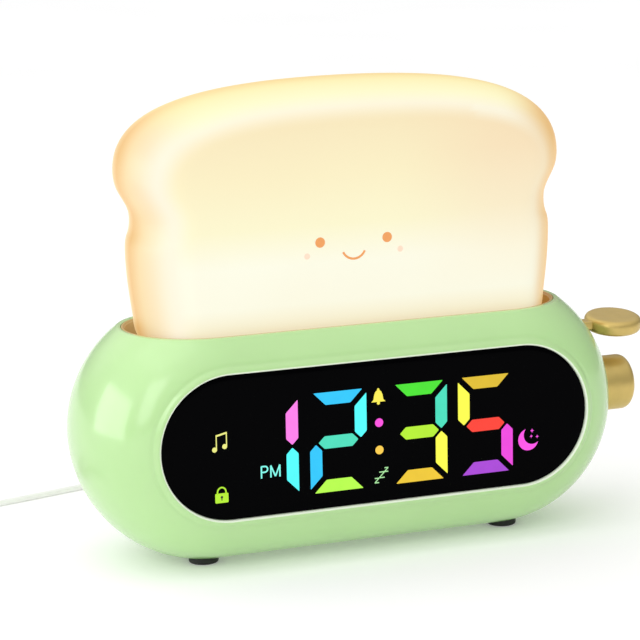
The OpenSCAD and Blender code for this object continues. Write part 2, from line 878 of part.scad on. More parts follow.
// Shaft with a flat where the knob grips it.
module encoder_shaft() {
    color("#d0d3d8") in_place()
        difference() {
            rod_x(shaft_r, encoder_face_x - 1.8, shaft_end_x);
            block([knob_x + knob_hollow, -body_d, shaft_r - 1.5],
                [body_w, body_d, body_h]);
        }
}

// Turned knob: straight skirt, softly rounded front edge and a slightly dished face.
module knob() {
    r = knob_d / 2;
    edge = 3;
    steps = 8;
    skirt = [[0, knob_x + knob_hollow], [r - 1.6, knob_x + knob_hollow], [r - 1.6, knob_x],
        [r - 0.3, knob_x], [r, knob_x + 0.3]];
    shoulder = [for (i = [0:steps]) let (a = 90 * i / steps)
        [r - edge + edge * cos(a), knob_x + knob_len - edge + edge * sin(a)]];
    face = [[0, knob_x + knob_len]];
    color("#c8a95e") in_place()
        difference() {
            rotate([0, 90, 0])
                rotate_extrude()
                    polygon(concat(skirt, shoulder, face));
            difference() {
                rod_x(shaft_r, knob_x, shaft_end_x);
                block([knob_x + knob_hollow, -body_d, shaft_r - 1.5], [body_w, body_d, body_h]);
            }
        }
}

// ---------- lever ----------

// Paddle profile: a thick coin whose edges are well rounded.
module paddle() {
    r = paddle_d / 2;
    h = paddle_t / 2;
    edge = 0.73 * h;
    steps = 6;
    upper = [for (i = [0:steps]) let (a = 90 * i / steps)
        [r - edge + edge * cos(a), h - edge + edge * sin(a)]];
    lower = [for (i = [steps:-1:0]) [upper[i][0], -upper[i][1]]];
    rotate_extrude()
        polygon(concat([[0, -h]], lower, upper, [[0, h]]));
}

module lever_paddle() {
    color("#c8a95e") in_place()
        union() {
            translate([paddle_x, 0, lever_z])
                rotate([paddle_tilt, 0, 0])
                    paddle();
            block([carriage_x + 1.4, -neck_w / 2, lever_z - neck_t / 2],
                [paddle_x - paddle_d / 2 + 3, neck_w / 2, lever_z + neck_t / 2]);
        }
}

// Slide that grips the neck and runs down the guide.
module lever_carriage() {
    color("#f2f2ee") in_place()
        difference() {
            block([carriage_x, -carriage_w / 2, carriage_low],
                [carriage_x + carriage_len, carriage_w / 2, carriage_top]);
            block([carriage_x + 1.4, -neck_w / 2, lever_z - neck_t / 2],
                [body_w, neck_w / 2, lever_z + neck_t / 2]);
            translate([carriage_x + carriage_len / 2, spring_y, carriage_low - 1])
                cylinder(r = spring_d / 2 + 0.2, h = 2.2);
        }
}

// Upright channel that the slide runs in, standing against the inside of the body's end.
module lever_guide() {
    half = carriage_w / 2 + fit;
    color("#ececec") in_place()
        intersection() {
            difference() {
                block([guide_x, -half - guide_wall, guide_floor],
                    [body_w, half + guide_wall, carriage_top]);
                block([guide_x + guide_wall, -half, guide_floor + guide_wall],
                    [body_w, half, body_h]);
                block([guide_x + guide_wall + carriage_len + 0.6, -body_d, guide_floor - 1],
                    [body_w, body_d, encoder_w / 2 + 0.6]);
            }
            cavity_form(wall + fit);
        }
}

// Round wire swept along a helix with closed ends.
module lever_spring() {
    per_turn = 12;
    sides = 8;
    rings = spring_turns * per_turn;
    coil_r = (spring_d - spring_wire) / 2;
    rise = spring_top - spring_low - spring_wire;
    path = [for (i = [0:rings]) let (t = i / rings, a = 360 * spring_turns * t)
        [coil_r * cos(a), coil_r * sin(a),
            spring_low + spring_wire / 2 + rise * t]];
    color("silver") in_place()
        translate([carriage_x + carriage_len / 2, spring_y, 0])
            tube(path, spring_wire / 2, sides);
}

module lever_switch() {
    x = carriage_x + 0.6;
    top = carriage_low - lever_travel - 0.3;
    color("#26262a") in_place()
        union() {
            block([x, switch_y - 2, spring_low], [x + 4, switch_y + 2, top - 0.8]);
            translate([x + 2, switch_y, top - 1])
                cylinder(r = 1, h = 1);
        }
}

// ---------- feet, screws and cord ----------

module feet() {
    steps = 4;
    r = foot_d / 2;
    edge = min(1, foot_h / 2);
    low = -base_drop - foot_h;
    rim = [for (i = [0:steps]) let (a = 90 * i / steps)
        [r - edge + edge * sin(a), low + edge - edge * cos(a)]];
    color("#1c1c1e") in_place()
        for (sx = [-1, 1], sy = [-1, 1])
            translate([sx * foot_x, sy * foot_y, 0])
                rotate_extrude()
                    polygon(concat([[0, low]], rim, [[r, foot_sink - base_drop],
                        [0, foot_sink - base_drop]]));
}

module housing_screws() {
    color("silver") in_place() {
        for (at = housing_screw_at)
            screw_y(screw_head_y, housing_screw_len, at[0], at[1], screw_d / 2 - 0.3);
        screw_door();
    }
}

module screw_door() {
    rod_y(door_screw_r, door_face_y - door_t - 1.4, door_face_y, battery_x,
        battery_z - door_screw_offset);
    rod_y(1.4, door_face_y, door_face_y + 0.3, battery_x, battery_z - door_screw_offset);
}

// Device end of the cord: metal shell, moulded grip and a tapered strain relief.
module cord_plug() {
    grip = [11.6, 6.2];
    relief_r = 2.2;
    color("#f4f4f2") in_place()
        translate([0, 0, socket_z])
            union() {
                stadium_y(socket_r - 0.4, half_d - 8, plug_y + 1, socket_half);
                round_plate_y(grip[0], grip[1], 2.6, plug_y, plug_y + plug_len);
                translate([0, plug_y + plug_len, 0])
                    rotate([-90, 0, 0])
                        cylinder(r1 = relief_r, r2 = cord_r + 0.35, h = relief_len);
            }
}

function unit(v) = v / norm(v);

// Tube along a path: each ring stands square to the path and keeps one side level.
module tube(path, r, sides) {
    n = len(path);
    along = [for (i = [0:n - 1]) unit(path[min(n - 1, i + 1)] - path[max(0, i - 1)])];
    up = [0, 0, 1];
    rings = [for (i = [0:n - 1]) let (
            level = unit(cross(abs(along[i][2]) > 0.98 ? [0, 1, 0] : up, along[i])),
            rise = cross(along[i], level))
        for (k = [0:sides - 1]) path[i] + r * (cos(360 * k / sides) * level
            + sin(360 * k / sides) * rise)];
    skin = [for (i = [0:n - 2]) for (k = [0:sides - 1]) for (half = [0, 1])
        let (a = i * sides + k, b = i * sides + (k + 1) % sides)
        half == 0 ? [a, a + sides, b + sides] : [a, b + sides, b]];
    caps = [[for (k = [0:sides - 1]) k],
        [for (k = [sides - 1:-1:0]) (n - 1) * sides + k]];
    polyhedron(rings, concat(skin, caps), convexity = 6);
}

// Point on a smooth curve through the route's points.
function through(p, i, t) = let (
        a = p[max(0, i - 1)],
        b = p[i],
        c = p[i + 1],
        d = p[min(len(p) - 1, i + 2)])
    0.5 * ((2 * b) + (c - a) * t + (2 * a - 5 * b + 4 * c - d) * pow(t, 2)
        + (3 * b - a - 3 * c + d) * pow(t, 3));

function smooth(p, steps) = concat([for (i = [0:len(p) - 2]) for (k = [0:steps - 1])
    through(p, i, k / steps)], [p[len(p) - 1]]);

module power_cord() {
    start = [0, cord_exit_y, socket_z];
    color("white") in_place()
        translate(start)
            tube(smooth(cord_route, 3), cord_r, 8);
}

// Outer shape of the coiled length, lying flat on the surface.
module cord_coil() {
    color("white") in_place()
        translate([coil_at[0], coil_at[1], floor_z])
            difference() {
                cylinder(r = coil_out, h = coil_w);
                translate([0, 0, -1])
                    cylinder(r = coil_d / 2 - coil_w / 2, h = coil_w + 2);
            }
}

// The plug lies beside the coil, its tail towards the last turn.
module usb_at() {
    translate([coil_at[0] - coil_out + cord_r,
            usb_edge_y - usb_gap - usb_tail - usb_grip[2] / 2, floor_z + usb_grip[1] / 2])
        rotate([0, 0, 180])
            children();
}

module usb_plug() {
    half = usb_grip[2] / 2;
    color("#f4f4f2") in_place()
        usb_at()
            union() {
                round_plate_y(usb_grip[0], usb_grip[1], 2.4, -half, half);
                translate([0, -half - usb_tail, 0])
                    rotate([-90, 0, 0])
                        cylinder(r1 = usb_tail_r, r2 = 2.6, h = usb_tail);
            }
}

// Folded metal shell with the contact tongue filling its lower half.
module usb_plug_shell() {
    w = usb_shell[0] / 2;
    h = usb_shell[1] / 2;
    start = usb_grip[2] / 2;
    color("#c9ccd0") in_place()
        usb_at()
            difference() {
                block([-w, start, -h], [w, start + usb_shell[2], h]);
                block([usb_shell_t - w, start + 1, usb_tongue_h],
                    [w - usb_shell_t, start + usb_shell[2] + 1, h - usb_shell_t]);
            }
}

front_shell();
rear_cover();
slot_liner();
bread_shade();
lamp_base();
lamp_board();
lamp_leds();
display_window();
lit_digits();
lit_colon();
display_reflector();
display_board();
board_screws();
control_board();
tact_switches();
button_mode();
button_set();
button_down();
button_up();
button_light();
speaker();
speaker_gasket();
coin_holder();
coin_cell();
battery_door();
power_socket();
encoder_body();
encoder_nut();
encoder_shaft();
knob();
lever_paddle();
lever_carriage();
lever_guide();
lever_spring();
lever_switch();
feet();
housing_screws();
cord_plug();
power_cord();
cord_coil();
usb_plug();
usb_plug_shell();
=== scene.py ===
"""Toaster-shaped alarm clock with a glowing bread-slice night light, dressed for rendering.

Every length below is in millimetres about the middle of the pill-shaped housing, with +X towards the
knob, +Y towards the back and +Z up. settle() lifts a finished piece into the frame, in metres.
"""

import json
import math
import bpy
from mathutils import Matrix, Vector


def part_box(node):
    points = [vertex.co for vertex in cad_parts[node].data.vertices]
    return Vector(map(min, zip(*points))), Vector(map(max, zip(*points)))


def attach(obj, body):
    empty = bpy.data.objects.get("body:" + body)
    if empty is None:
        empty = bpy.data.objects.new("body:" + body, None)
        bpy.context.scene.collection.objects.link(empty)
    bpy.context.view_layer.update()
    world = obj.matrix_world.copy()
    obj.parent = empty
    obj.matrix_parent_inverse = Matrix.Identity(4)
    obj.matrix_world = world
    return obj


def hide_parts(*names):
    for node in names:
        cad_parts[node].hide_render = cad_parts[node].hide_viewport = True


bl_info = {
    "name": "Bread Slice Alarm Clock",
    "version": (1, 0, 0),
    "blender": (4, 5, 0),
    "location": "View3D > Sidebar > Clock",
    "description": "Dresses the packed frame of a children's alarm clock with a night light",
    "category": "Add Mesh",
}

import bmesh
import bpy
import numpy as np
from bpy.props import FloatProperty, PointerProperty, StringProperty
from mathutils import Matrix, Vector
from mathutils.geometry import delaunay_2d_cdt

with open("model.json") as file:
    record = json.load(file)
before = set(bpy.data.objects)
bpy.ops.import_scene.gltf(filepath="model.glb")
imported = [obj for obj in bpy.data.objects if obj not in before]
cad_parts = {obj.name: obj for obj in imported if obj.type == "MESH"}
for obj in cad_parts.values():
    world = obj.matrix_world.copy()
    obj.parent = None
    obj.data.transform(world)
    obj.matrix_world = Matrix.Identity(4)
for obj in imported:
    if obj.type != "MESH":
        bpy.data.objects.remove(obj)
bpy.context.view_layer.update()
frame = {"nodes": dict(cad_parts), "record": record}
nodes = frame["nodes"]

# ---------- sizes shared with the frame, in millimetres ----------

MM = 0.001
BODY_R = 43.5
FACE_R = 23.0
HALF_LEN = 51.5
HALF_D = 32.5
BULGE = BODY_R - FACE_R
BASE_DROP = 41.5
MOUTH_Z = 34.8
POCKET_R = 25.0
LINER_R = 24.85
SLOT_R = 23.65
SLOT_FLOOR_Z = 26.2
SPLIT_Y = 20.0
WINDOW_R = 23.9
WINDOW_Y = -32.1
LEDGE_Y = -30.1
END_X = 95.0
KNOB_X = END_X + 0.8
PADDLE_X = END_X + 7.7
LEVER_Z = 21.6
LEVER_TRAVEL = 4.0
FLOOR_Z = -43.5
PRINT_LIFT = 0.03
PRINT_T = 0.02
FOOT_AT = (54.5, 9.5)
BUTTON_Z = 13.5
BUTTON_X = (-24.0, -12.0, 0.0, 12.0, 24.0)
BUTTON_NAMES = ("mode", "set", "down", "up", "light")
DOOR_AT = (43.0, -4.0)
GRILLE_AT = (-46.0, -4.0)
GRILLE_PITCH = 4.0
SOCKET_Z = -13.0
SCREWS_AT = ((-80, -16), (80, -16), (-30, -33), (30, -33))

shell_low, shell_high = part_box("front_shell")
ORIGIN = np.array([(shell_low[0] + shell_high[0]) / 2, 0.0, shell_low[2] + BASE_DROP * MM])


class ClockSizes(bpy.types.PropertyGroup):
    """Sizes and colours that a user would change."""

    rim_height: FloatProperty(
        name="Window rim", description="Height of the bead round the window, in millimetres",
        default=0.5, min=0.2, max=0.5)
    lip_fillet: FloatProperty(
        name="Mouth fillet", description="Width of the rounding at the slot's mouth, in millimetres",
        default=0.45, min=0.2, max=0.7)
    glow: FloatProperty(
        name="Glow", description="Brightness of the bread lamp", default=0.64, min=0.0, max=5.0)
    digits_glow: FloatProperty(
        name="Digits", description="Brightness of the lit bars", default=1.0, min=0.0, max=5.0)
    housing_hex: StringProperty(
        name="Housing", description="sRGB colour of the housing, in hex", default="BAE29E")
    gold_hex: StringProperty(
        name="Gold", description="sRGB colour of the knob and lever, in hex", default="D8BC70")


# ---------- meshes ----------

def grid_faces(rows, cols, wrap=False):
    """Quads over a grid of rows by cols points; where wrap is set the last column meets the first."""
    r = np.arange(rows - 1)[:, None]
    c = np.arange(cols if wrap else cols - 1)[None, :]
    n = (c + 1) % cols
    a, b = r * cols + c, r * cols + n
    return np.stack([a, b, b + cols, a + cols], axis=-1).reshape(-1, 4)


def to_bmesh(parts, weld=1e-4):
    """One bmesh of several (points, faces) parts, their shared seams welded and normals agreed."""
    mesh = bpy.data.meshes.new("part")
    points, faces, first = [], [], 0
    for p, f in parts:
        p = np.asarray(p, float).reshape(-1, 3)
        points.append(p)
        faces += (np.asarray(f, int) + first).tolist()
        first += len(p)
    mesh.from_pydata(np.concatenate(points).tolist(), [], faces)
    bm = bmesh.new()
    bm.from_mesh(mesh)
    bpy.data.meshes.remove(mesh)
    bmesh.ops.remove_doubles(bm, verts=bm.verts, dist=weld)
    bmesh.ops.dissolve_degenerate(bm, dist=weld, edges=bm.edges)
    bmesh.ops.recalc_face_normals(bm, faces=bm.faces)
    return bm


def face_out(bm, outward):
    """Turns all faces round where they look against outward(centre), a direction off the surface."""
    total = sum(f.normal.dot(outward(f.calc_center_median())) * f.calc_area() for f in bm.faces)
    if total < 0:
        bmesh.ops.reverse_faces(bm, faces=bm.faces)


def to_front(centre):
    """Outward direction of what lies flat on the front, the same at every centre."""
    return Vector((0, -1, 0))


def join_into(bm, other):
    """Copies the faces of another bmesh into this one and frees the other."""
    mesh = bpy.data.meshes.new("joined")
    other.to_mesh(mesh)
    other.free()
    bm.from_mesh(mesh)
    bpy.data.meshes.remove(mesh)


def keep_rims_crisp(mesh):
    """Marks the open edges sharp, so that the wall drawn behind them doesn't bend their shading."""
    used = np.zeros(len(mesh.loops), np.int32)
    mesh.loops.foreach_get("edge_index", used)
    layer = mesh.attributes.get("sharp_edge") or mesh.attributes.new("sharp_edge", "BOOLEAN", "EDGE")
    crisp = np.zeros(len(mesh.edges), bool)
    layer.data.foreach_get("value", crisp)
    layer.data.foreach_set("value", crisp | (np.bincount(used, minlength=len(crisp)) == 1))


def settle(name, bm, finishes, body, replaces=(), sharp=35.0, wall=0.0):
    """Lifts a mesh drawn in millimetres into the frame and makes it a piece riding on its body.
    Edges that turn by more than the sharp angle stay sharp, and a wall is drawn inwards."""
    mesh = bpy.data.meshes.new(name)
    bm.to_mesh(mesh)
    bm.free()
    mesh.transform(Matrix.Translation(Vector(ORIGIN)) @ Matrix.Scale(MM, 4))
    mesh.shade_smooth()
    mesh.set_sharp_from_angle(angle=math.radians(sharp))
    piece = bpy.data.objects.new(name, mesh)
    bpy.context.scene.collection.objects.link(piece)
    for one in finishes if isinstance(finishes, (list, tuple)) else [finishes]:
        mesh.materials.append(one)
    if wall:
        keep_rims_crisp(mesh)
        solid = piece.modifiers.new("Wall", "SOLIDIFY")
        solid.thickness = wall * MM
        solid.offset = -1
    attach(piece, body)
    if replaces:
        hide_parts(*replaces)
    return piece


def smoothstep(x, low, high):
    """Runs from 0 to 1 as x goes from low to high, level at both ends: 3t² − 2t³."""
    t = np.clip((x - low) / (high - low), 0, 1)
    return t * t * (3 - 2 * t)


def arc_turn(count, start, end):
    """Evenly spaced angles between two in degrees, as radians."""
    return np.radians(np.linspace(start, end, count))


def turned(profile, count=96):
    """Surface of a (radius, height) profile carried once round the Z axis."""
    profile = np.asarray(profile, float)
    turn = np.linspace(0, 2 * np.pi, count, endpoint=False)
    x = profile[:, :1] * np.cos(turn)
    y = profile[:, :1] * np.sin(turn)
    z = np.repeat(profile[:, 1:], count, axis=1)
    return np.stack([x, y, z], axis=-1), grid_faces(len(profile), count, wrap=True)


def placed(part, columns, at=(0, 0, 0)):
    """A part with its axes turned on to the three given directions and moved."""
    points, faces = part
    return np.asarray(points) @ np.array(columns, float) + np.array(at, float), faces


ALONG_X = [(0, 1, 0), (0, 0, 1), (1, 0, 0)]
ALONG_Y = [(1, 0, 0), (0, 0, -1), (0, 1, 0)]
ALONG_Z = [(1, 0, 0), (0, 1, 0), (0, 0, 1)]


def stadium_round(profile, arc=48, side=8):
    """Surface of a (radius, height) profile carried round the housing's stadium, laid across Z."""
    profile = np.asarray(profile, float)
    half = np.linspace(-np.pi / 2, np.pi / 2, arc + 1)
    run = np.linspace(HALF_LEN, -HALF_LEN, side + 1)[1:-1]
    turn = np.concatenate([half, np.full(side - 1, np.pi / 2), half + np.pi,
        np.full(side - 1, 1.5 * np.pi)])
    centre = np.concatenate([np.full(arc + 1, HALF_LEN), run, np.full(arc + 1, -HALF_LEN), -run])
    x = centre + profile[:, :1] * np.cos(turn)
    y = profile[:, :1] * np.sin(turn)
    z = np.repeat(profile[:, 1:], len(turn), axis=1)
    return np.stack([x, y, z], axis=-1), grid_faces(len(profile), len(turn), wrap=True)


def circle(r, at=(0, 0), count=24):
    """Outline of a circle about a point, starting on its right."""
    turn = np.linspace(0, 2 * np.pi, count, endpoint=False)
    return np.stack([at[0] + r * np.cos(turn), at[1] + r * np.sin(turn)], axis=-1)


# ---------- finishes ----------

def srgb(code):
    """Linear colour of an sRGB hex code."""
    c = np.array([int(code[i:i + 2], 16) for i in (0, 2, 4)]) / 255
    return (*np.where(c <= 0.04045, c / 12.92, ((c + 0.055) / 1.055) ** 2.4), 1.0)


def add(mat, kind, sockets=(), **settings):
    """Adds a shader node: settings are its properties, sockets are values or links of its inputs."""
    node = mat.node_tree.nodes.new("ShaderNode" + kind)
    for key, value in settings.items():
        setattr(node, key, value)
    for key, value in dict(sockets).items():
        if isinstance(value, bpy.types.NodeSocket):
            mat.node_tree.links.new(value, node.inputs[key])
        else:
            node.inputs[key].default_value = value
    return node


def start(name):
    """A new material with an empty tree and the object's own coordinates."""
    mat = bpy.data.materials.new(name)
    mat.use_nodes = True
    mat.node_tree.nodes.clear()
    return mat, add(mat, "TexCoord").outputs["Object"]


def finish(mat, shader):
    """Closes a material's tree with its shader."""
    add(mat, "OutputMaterial", {"Surface": shader.outputs[0]})
    return mat


def grain(mat, where, size_mm, low, high, detail=3.0):
    """Noise of a real size, stretched between two values."""
    noise = add(mat, "TexNoise", {"Vector": where, "Scale": 1000 / size_mm, "Detail": detail})
    return add(mat, "MapRange", {"Value": noise.outputs[0], "From Min": 0.3, "From Max": 0.7,
        "To Min": low, "To Max": high}).outputs[0]


def blended(mat, factor, a, b):
    """Two colours mixed by a factor."""
    mix = add(mat, "Mix", {0: factor, 6: a, 7: b}, data_type="RGBA")
    return mix.outputs[2]


def mottled(mat, where, code, size_mm, share):
    """A colour that drifts to a share of its own brightness over patches of a real size."""
    return blended(mat, grain(mat, where, size_mm, 0.0, 1.0), srgb(code),
        [c * share for c in srgb(code)[:3]] + [1])


def relief(mat, height, depth_mm):
    """Normal bent by a height of a real depth."""
    return add(mat, "Bump", {"Height": height, "Distance": depth_mm * MM, "Strength": 1.0}).outputs[0]


def glossy_abs(name, code):
    """Injection-moulded ABS from a polished tool: a hard gloss with a faint orange peel."""
    mat, where = start(name)
    tint = mottled(mat, where, code, 30, 0.965)
    peel = grain(mat, where, 2.2, 0, 1, 2)
    gloss = grain(mat, where, 12, 0.16, 0.21)
    return finish(mat, add(mat, "BsdfPrincipled", {"Base Color": tint, "Roughness": gloss,
        "IOR": 1.5, "Coat Weight": 0.25, "Coat Roughness": 0.08, "Subsurface Weight": 0.12,
        "Subsurface Radius": (0.004, 0.006, 0.003), "Subsurface Scale": 0.5,
        "Normal": relief(mat, peel, 0.0015)}))


def satin_plastic(name, code, rough=0.45):
    """Fine-textured moulded plastic: an even satin with a spark-eroded grain. The real grain is
    under 0.2 mm, and it is drawn at 0.8 so that it shows."""
    mat, where = start(name)
    tint = mottled(mat, where, code, 14, 0.93)
    tooth = grain(mat, where, 0.8, 0, 1, 4)
    return finish(mat, add(mat, "BsdfPrincipled", {"Base Color": tint,
        "Roughness": grain(mat, where, 6, rough - 0.04, rough + 0.05), "IOR": 1.48,
        "Normal": relief(mat, tooth, 0.01)}))


def gold_lacquer(name, code):
    """Plastic under a metallised gold lacquer: satin metal with fine flake and soft wear. The
    flake is drawn at 0.25 mm, several times its real size, so that it shows."""
    mat, where = start(name)
    tint = mottled(mat, where, code, 9, 0.86)
    flake = grain(mat, where, 0.25, 0, 1, 2)
    return finish(mat, add(mat, "BsdfPrincipled", {"Base Color": tint, "Metallic": 0.6,
        "Roughness": grain(mat, where, 4, 0.34, 0.42), "Normal": relief(mat, flake, 0.004)}))


def smoked_acrylic(name):
    """Polished smoked acrylic with an anti-glare coat: a deep black that mirrors almost nothing, so
    that only the lit bars show."""
    mat, where = start(name)
    return finish(mat, add(mat, "BsdfPrincipled", {"Base Color": srgb("020203"),
        "Roughness": grain(mat, where, 20, 0.05, 0.09), "IOR": 1.49,
        "Specular IOR Level": 0.02}))


def soft_rubber(name, code, rough=0.7, bloom=0.8, tooth=0.006):
    """Moulded rubber or soft PVC: a dull skin with a powdery bloom."""
    mat, where = start(name)
    tint = mottled(mat, where, code, 3, bloom)
    return finish(mat, add(mat, "BsdfPrincipled", {"Base Color": tint,
        "Roughness": grain(mat, where, 2, rough - 0.08, rough + 0.08), "IOR": 1.52,
        "Normal": relief(mat, grain(mat, where, 0.4, 0, 1), tooth)}))


def plated_steel(name):
    """Nickel-plated steel: bright metal with faint drawing marks."""
    mat, where = start(name)
    return finish(mat, add(mat, "BsdfPrincipled", {
        "Base Color": blended(mat, grain(mat, where, 5, 0, 1), srgb("C3C6CA"), srgb("A9ADB2")),
        "Metallic": 1.0, "Roughness": grain(mat, where, 1.5, 0.25, 0.37)}))


def glowing_shade(name, strength):
    """Milky translucent moulding lit from inside: the glow's own colour lies on the surface as an attribute,
    palest low down by the lamp and warmest where the wall turns away at the sides. The attribute also holds
    painted light and shade: a paler left side with a painted highlight, and an oranger right side and right
    of the face in painted shade."""
    mat, where = start(name)
    colour = add(mat, "Attribute", attribute_name="glow").outputs["Color"]
    cloudy = blended(mat, grain(mat, where, 45, 0.0, 0.05, 1), colour, srgb("F3D9A8"))
    skin = blended(mat, 0.66, cloudy, srgb("000000"))
    return finish(mat, add(mat, "BsdfPrincipled", {"Base Color": skin, "Roughness": 0.42,
        "Specular IOR Level": 0.3, "Emission Color": cloudy, "Emission Strength": strength}))


def lit_element(name, code, strength):
    """Light pipe under the window: an even glow that keeps its colour."""
    mat, where = start(name)
    power = grain(mat, where, 3, strength * 0.94, strength)
    return finish(mat, add(mat, "BsdfPrincipled", {"Base Color": srgb("060606"), "Roughness": 0.2,
        "Emission Color": srgb(code), "Emission Strength": power}))


def printed(name, code):
    """Pad-printed ink, a little duller than what it lies on."""
    mat, where = start(name)
    tint = mottled(mat, where, code, 1.5, 0.92)
    return finish(mat, add(mat, "BsdfPrincipled", {"Base Color": tint, "Roughness": 0.5,
        "Emission Color": srgb(code), "Emission Strength": 0.45}))


def refinish(piece, look):
    """Gives a piece of the frame another finish."""
    piece.data.materials.clear()
    piece.data.materials.append(look)


# ---------- camera, light and floor ----------

CAMERA_AT = (-312.73, -778.57, 197.0)
CAMERA_AZIMUTH = 21.387
CAMERA_DROP = 11.153
CAMERA_ROLL = -1.076
CAMERA_LENS = 142.87


def camera_axes(azimuth, drop, roll):
    """Right, up and back of a camera that looks along an azimuth from +Y, down by an angle."""
    a, d, r = (math.radians(v) for v in (azimuth, drop, roll))
    ahead = Vector((math.sin(a) * math.cos(d), math.cos(a) * math.cos(d), -math.sin(d)))
    right = Vector((math.cos(a), -math.sin(a), 0))
    up = right.cross(ahead)
    return (math.cos(r) * right + math.sin(r) * up, math.cos(r) * up - math.sin(r) * right, -ahead)


def soft_light(name, at, target, size, power):
    """White rectangular soft box of a size in millimetres, facing a target."""
    data = bpy.data.lights.new(name, "AREA")
    data.shape = "RECTANGLE"
    data.size, data.size_y = size[0] * MM, size[1] * MM
    data.energy = power
    lamp = bpy.data.objects.new(name, data)
    bpy.context.scene.collection.objects.link(lamp)
    lamp.location = Vector(at) * MM + Vector(ORIGIN)
    aim = (Vector(target) - Vector(at)).to_track_quat("-Z", "Y")
    lamp.rotation_mode = "QUATERNION"
    lamp.rotation_quaternion = aim
    return lamp


class CLOCK_OT_stage(bpy.types.Operator):
    """Camera, soft lights and a plain pale floor"""

    bl_idname = "clock.stage"
    bl_label = "Stage"

    def execute(self, context):
        data = bpy.data.cameras.new("Camera")
        data.lens, data.sensor_width = CAMERA_LENS, 36
        data.clip_start, data.clip_end = 0.05, 50
        camera = bpy.data.objects.new("Camera", data)
        context.scene.collection.objects.link(camera)
        right, up, back = camera_axes(CAMERA_AZIMUTH, CAMERA_DROP, CAMERA_ROLL)
        turn = Matrix((right, up, back)).transposed().to_4x4()
        camera.matrix_world = Matrix.Translation(Vector(CAMERA_AT) * MM + Vector(ORIGIN)) @ turn
        context.scene.camera = camera

        reach = 8.0
        mesh = bpy.data.meshes.new("floor")
        mesh.from_pydata([(-reach, -reach, 0), (reach, -reach, 0), (reach, reach, 0), (-reach, reach, 0)],
            [], [(0, 1, 2, 3)])
        floor = bpy.data.objects.new("floor", mesh)
        context.scene.collection.objects.link(floor)
        mat, where = start("matt white paper sweep")
        tint = blended(mat, grain(mat, where, 300, 0, 1), srgb("EFEFEF"), srgb("EBEBEB"))
        mesh.materials.append(finish(mat, add(mat, "BsdfPrincipled", {"Base Color": tint,
            "Roughness": 0.9, "Specular IOR Level": 0.1, "Emission Color": srgb("FFFFFF"),
            "Emission Strength": 0.2})))

        world = bpy.data.worlds.new("Studio")
        world.use_nodes = True
        split = add(world, "SeparateXYZ", {"Vector": add(world, "TexCoord").outputs["Generated"]})
        overhead = add(world, "MapRange", {"Value": split.outputs[2], "From Min": 0.0, "From Max": 1.0,
            "To Min": 0.38, "To Max": 1.32}, interpolation_type="SMOOTHSTEP").outputs[0]
        across = add(world, "MapRange", {"Value": split.outputs[0], "From Min": -1.0, "From Max": 1.0,
            "To Min": 1.34, "To Max": 0.5}).outputs[0]
        sky = world.node_tree.nodes["Background"]
        sky.inputs[0].default_value = srgb("FFFFFF")
        product = add(world, "Math", {0: overhead, 1: across}, operation="MULTIPLY").outputs[0]
        world.node_tree.links.new(product, sky.inputs[1])
        context.scene.world = world
        context.scene.view_settings.view_transform = "Standard"

        soft_light("key left", (-700, -650, 420), (-20, -10, 0), (420, 620), 1.9)
        panel = soft_light("panel left", (-950, 150, 100), (-60, 0, 0), (800, 700), 5.5)
        panel.visible_diffuse = False
        soft_light("top", (-350, 0, 850), (0, 0, 0), (800, 600), 0.7)
        soft_light("back", (-200, 900, 500), (0, 0, 30), (900, 500), 0.3)
        return {"FINISHED"}


# ---------- housing ----------

def bulge_r(y):
    """Radius of the pill at a depth: an ellipse quarter from the face's radius to the full one."""
    return FACE_R + BULGE * np.sqrt(np.clip(1 - (np.asarray(y) / HALF_D) ** 2, 0, 1))


def bulge_y(r):
    """Depth in front of the middle where the pill has this radius."""
    return -HALF_D * np.sqrt(np.clip(1 - ((np.asarray(r) - FACE_R) / BULGE) ** 2, 0, 1))


LIP_DROP = 0.3
LIP_Z = MOUTH_Z - LIP_DROP


def pill_rows(profile, arc=72, side=10):
    """The pill's skin over (radius, depth) rows, as the outlines of stadiums cut level at the lip
    above and at the flat underside below. Returns the points and how many columns make the top."""
    r = np.asarray(profile, float)[:, :1]
    y = np.asarray(profile, float)[:, 1:]
    top = np.where(r > LIP_Z, np.arcsin(np.clip(LIP_Z / r, -1, 1)), np.pi / 2)
    low = -np.where(r > BASE_DROP, np.arcsin(np.clip(BASE_DROP / r, -1, 1)), np.pi / 2)
    turn = top + (low - top) * np.linspace(0, 1, arc + 1)
    right_x = HALF_LEN + r * np.cos(turn)
    end_z = r * np.sin(turn)
    run = np.linspace(1, -1, side + 1)[1:-1]
    under_x = right_x[:, -1:] * run
    over_x = -right_x[:, :1] * run
    x = np.concatenate([right_x, under_x, -right_x[:, ::-1], over_x], axis=1)
    z = np.concatenate([end_z, np.repeat(end_z[:, -1:], side - 1, 1), end_z[:, ::-1],
        np.repeat(end_z[:, :1], side - 1, 1)], axis=1)
    return np.stack([x, np.broadcast_to(y, x.shape), z], axis=-1), side - 1


